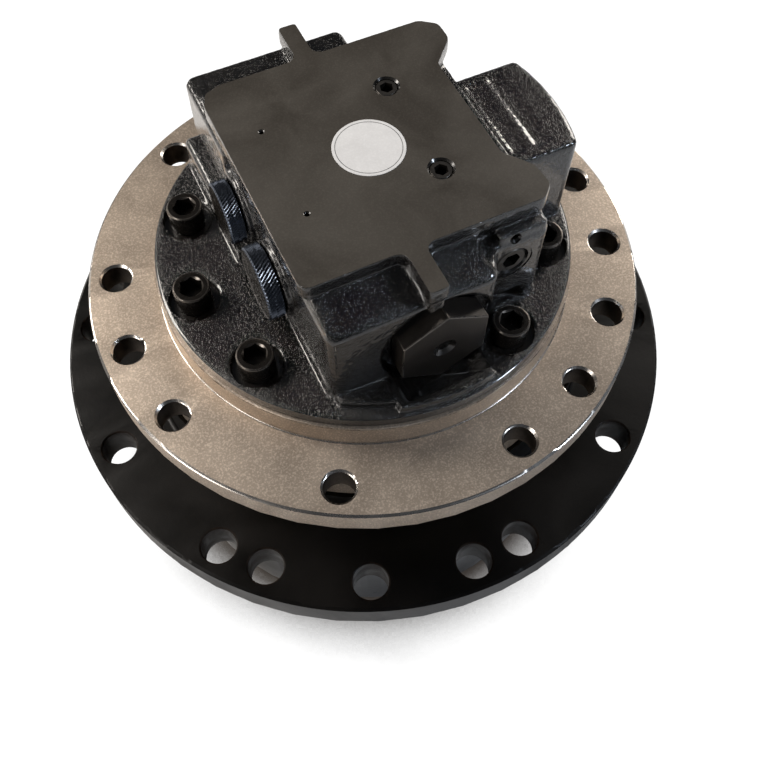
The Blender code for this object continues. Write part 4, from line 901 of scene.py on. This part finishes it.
plugLevel = cover["plateTop"] - sunkPlug["sunk"]
for name, node, y in (("frontTopPlug", "top_plug_front", -0.027), ("backTopPlug", "top_plug_back", 0.027)):
    buildPlug(name, node, "motor_case", 0.0052, (0.025, y, plugLevel), (0, 0, 15), sunkPlug)
buildPlug("pilotPlug", "pilot_plug", "motor_case", 0.0072, (0.042, -0.0652, 0.243), (90, 0, 0), sunkPlug)
print("plugs built")


# a bare round sticker on the plate

sticker = {
    "radius": 0.0163, "rim": 0.0150, "thickness": 0.00015, "place": (0.002, -0.003), "steps": 72,
    "edge": 0.0002, "line": 0.0004, "crownRadius": 0.006, "crown": 1.15, "film": 0.00002,
}


def buildSticker(t):
    work = bmesh.new()
    outer, rim, thick, steps = t["radius"], t["rim"], t["thickness"], t["steps"]
    profile = [(outer, 0), (outer, thick * 0.6), (outer - t["edge"], thick), (rim, thick),
               (rim - t["line"], thick), (t["crownRadius"], thick * t["crown"])]
    rings = []
    for radius, height in profile:
        rings.append([work.verts.new((*polar(radius, 360 / steps * step), height)) for step in range(steps)])
    for lower, upper in zip(rings, rings[1:]):
        for step in range(steps):
            after = (step + 1) % steps
            face = work.faces.new([lower[step], lower[after], upper[after], upper[step]])
            face.material_index = int(lower is rings[3])
    work.faces.new(rings[-1])
    piece = newPiece("bareSticker", meshFrom(work, "bareSticker"), stickerPaper, stickerRim)
    place(piece, (*t["place"], cover["plateTop"] + t["film"]))
    smoothByAngle(piece, 30)
    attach(piece, "motor_case")


buildSticker(sticker)
print("sticker built")


# brake spring: the CAD washer, carried by the brake piston


def buildSpring():
    washer = copyOfNode("brake_spring", gearSteel)
    washer.name = "brakeSpring"
    smoothByAngle(washer)
    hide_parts("brake_spring")
    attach(washer, "brake_piston")
    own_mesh(washer)


buildSpring()
print("brake spring built")


# finishes of the CAD nodes that stay

nodeFinish = {"ground_steel": groundSteel, "gear_steel": gearSteel, "blackened_screw": screwBlack,
              "bronze": bronzeFinish, "friction_lining": brakeLining, "rubber": blackRubber,
              "black_paint": hubPaint, "cover_paint": coverPaint, "plug_blue": blueCap,
              "machined_steel": flangeSteel}

for row in frame["record"]["subparts"]:
    node = nodes[row["node"]]
    node.data.materials.clear()
    node.data.materials.append(nodeFinish[row["material_slot"]])


# floor and light

studio = {
    "floorSize": 6.0, "floorColour": (0.86, 0.86, 0.86), "floorRoughness": 0.9, "white": 0.93,
    "whiteLevel": (1.15, 1.15, 1.15), "shadeReach": 0.25, "shadeSamples": 32,
    "shadeLow": 0.42, "shadeHigh": 0.64, "shadeColour": (0.030, 0.022, 0.016),
    "world": (0.80, 0.84, 0.92), "worldStrength": 0.06, "lampAim": (0, 0, 0.15),
}
lamps = [
    {"name": "backLeftWindow", "place": (-0.74, 0.64, 0.90), "size": 0.50, "power": 12.5,
     "colour": (1.0, 0.94, 0.87)},
    {"name": "leftFill", "place": (-1.05, -0.15, 0.60), "size": 0.40, "power": 3.5,
     "colour": (1.0, 0.95, 0.90)},
    {"name": "rightWindow", "place": (0.92, 0.38, 0.62), "size": 0.40, "power": 5.0,
     "colour": (1.0, 0.94, 0.87)},
    {"name": "frontWindow", "place": (0.74, -0.80, 0.88), "size": 0.16, "power": 5.6,
     "colour": (0.76, 0.86, 1.0)},
]


def floorFinish(setup):
    # the camera sees a white floor with painted shade close under the part, from ambient occlusion
    material = bpy.data.materials.new("paleFloor")
    material.use_nodes = True
    tree = material.node_tree
    shader = tree.nodes["Principled BSDF"]
    shader.inputs["Base Color"].default_value = (*setup["floorColour"], 1)
    shader.inputs["Roughness"].default_value = setup["floorRoughness"]
    occlusion = tree.nodes.new("ShaderNodeAmbientOcclusion")
    occlusion.inputs["Distance"].default_value = setup["shadeReach"]
    occlusion.samples = setup["shadeSamples"]
    ramp = tree.nodes.new("ShaderNodeMapRange")
    ramp.interpolation_type = "SMOOTHSTEP"
    for label, value in (("From Min", setup["shadeLow"]), ("From Max", setup["shadeHigh"])):
        ramp.inputs[label].default_value = value
    tree.links.new(occlusion.outputs["AO"], ramp.inputs["Value"])
    paintedShadeTint = tree.nodes.new("ShaderNodeMix")
    paintedShadeTint.data_type = "RGBA"
    paintedShadeTint.inputs[6].default_value = (*setup["shadeColour"], 1)
    paintedShadeTint.inputs[7].default_value = (*setup["whiteLevel"], 1)
    tree.links.new(ramp.outputs["Result"], paintedShadeTint.inputs[0])
    glow = tree.nodes.new("ShaderNodeEmission")
    tree.links.new(paintedShadeTint.outputs[2], glow.inputs["Color"])
    paths = tree.nodes.new("ShaderNodeLightPath")
    blend = tree.nodes.new("ShaderNodeMixShader")
    share = tree.nodes.new("ShaderNodeMath")
    share.operation = "MULTIPLY"
    share.inputs[1].default_value = setup["white"]
    tree.links.new(paths.outputs["Is Camera Ray"], share.inputs[0])
    tree.links.new(share.outputs[0], blend.inputs[0])
    tree.links.new(shader.outputs[0], blend.inputs[1])
    tree.links.new(glow.outputs[0], blend.inputs[2])
    tree.links.new(blend.outputs[0], tree.nodes["Material Output"].inputs["Surface"])
    return material


def buildStudio(setup, windows):
    half = setup["floorSize"] / 2
    work = bmesh.new()
    work.faces.new([work.verts.new((x, y, 0)) for x, y in
                    ((-half, -half), (half, -half), (half, half), (-half, half))])
    newPiece("floor", meshFrom(work, "floor"), floorFinish(setup))
    world = scene.world or bpy.data.worlds.new("studioWorld")
    scene.world = world
    world.use_nodes = True
    tree = world.node_tree
    sky = tree.nodes["Background"]
    sky.inputs["Color"].default_value = (*setup["world"], 1)
    sky.inputs["Strength"].default_value = setup["worldStrength"]
    # the camera sees a white backdrop, while the pieces get the dim sky
    backdrop = tree.nodes.new("ShaderNodeBackground")
    backdrop.inputs["Color"].default_value = (1.0, 1.0, 1.0, 1)
    paths = tree.nodes.new("ShaderNodeLightPath")
    blend = tree.nodes.new("ShaderNodeMixShader")
    tree.links.new(paths.outputs["Is Camera Ray"], blend.inputs[0])
    tree.links.new(sky.outputs[0], blend.inputs[1])
    tree.links.new(backdrop.outputs[0], blend.inputs[2])
    tree.links.new(blend.outputs[0], tree.nodes["World Output"].inputs["Surface"])
    aim = Vector(setup["lampAim"])
    for lamp in windows:
        data = bpy.data.lights.new(lamp["name"], "AREA")
        data.size = lamp["size"]
        data.energy = lamp["power"]
        data.color = lamp["colour"]
        light = bpy.data.objects.new(lamp["name"], data)
        light.location = lamp["place"]
        light.rotation_euler = (aim - light.location).to_track_quat("-Z", "Y").to_euler()
        scene.collection.objects.link(light)


buildStudio(studio, lamps)
print("studio built")
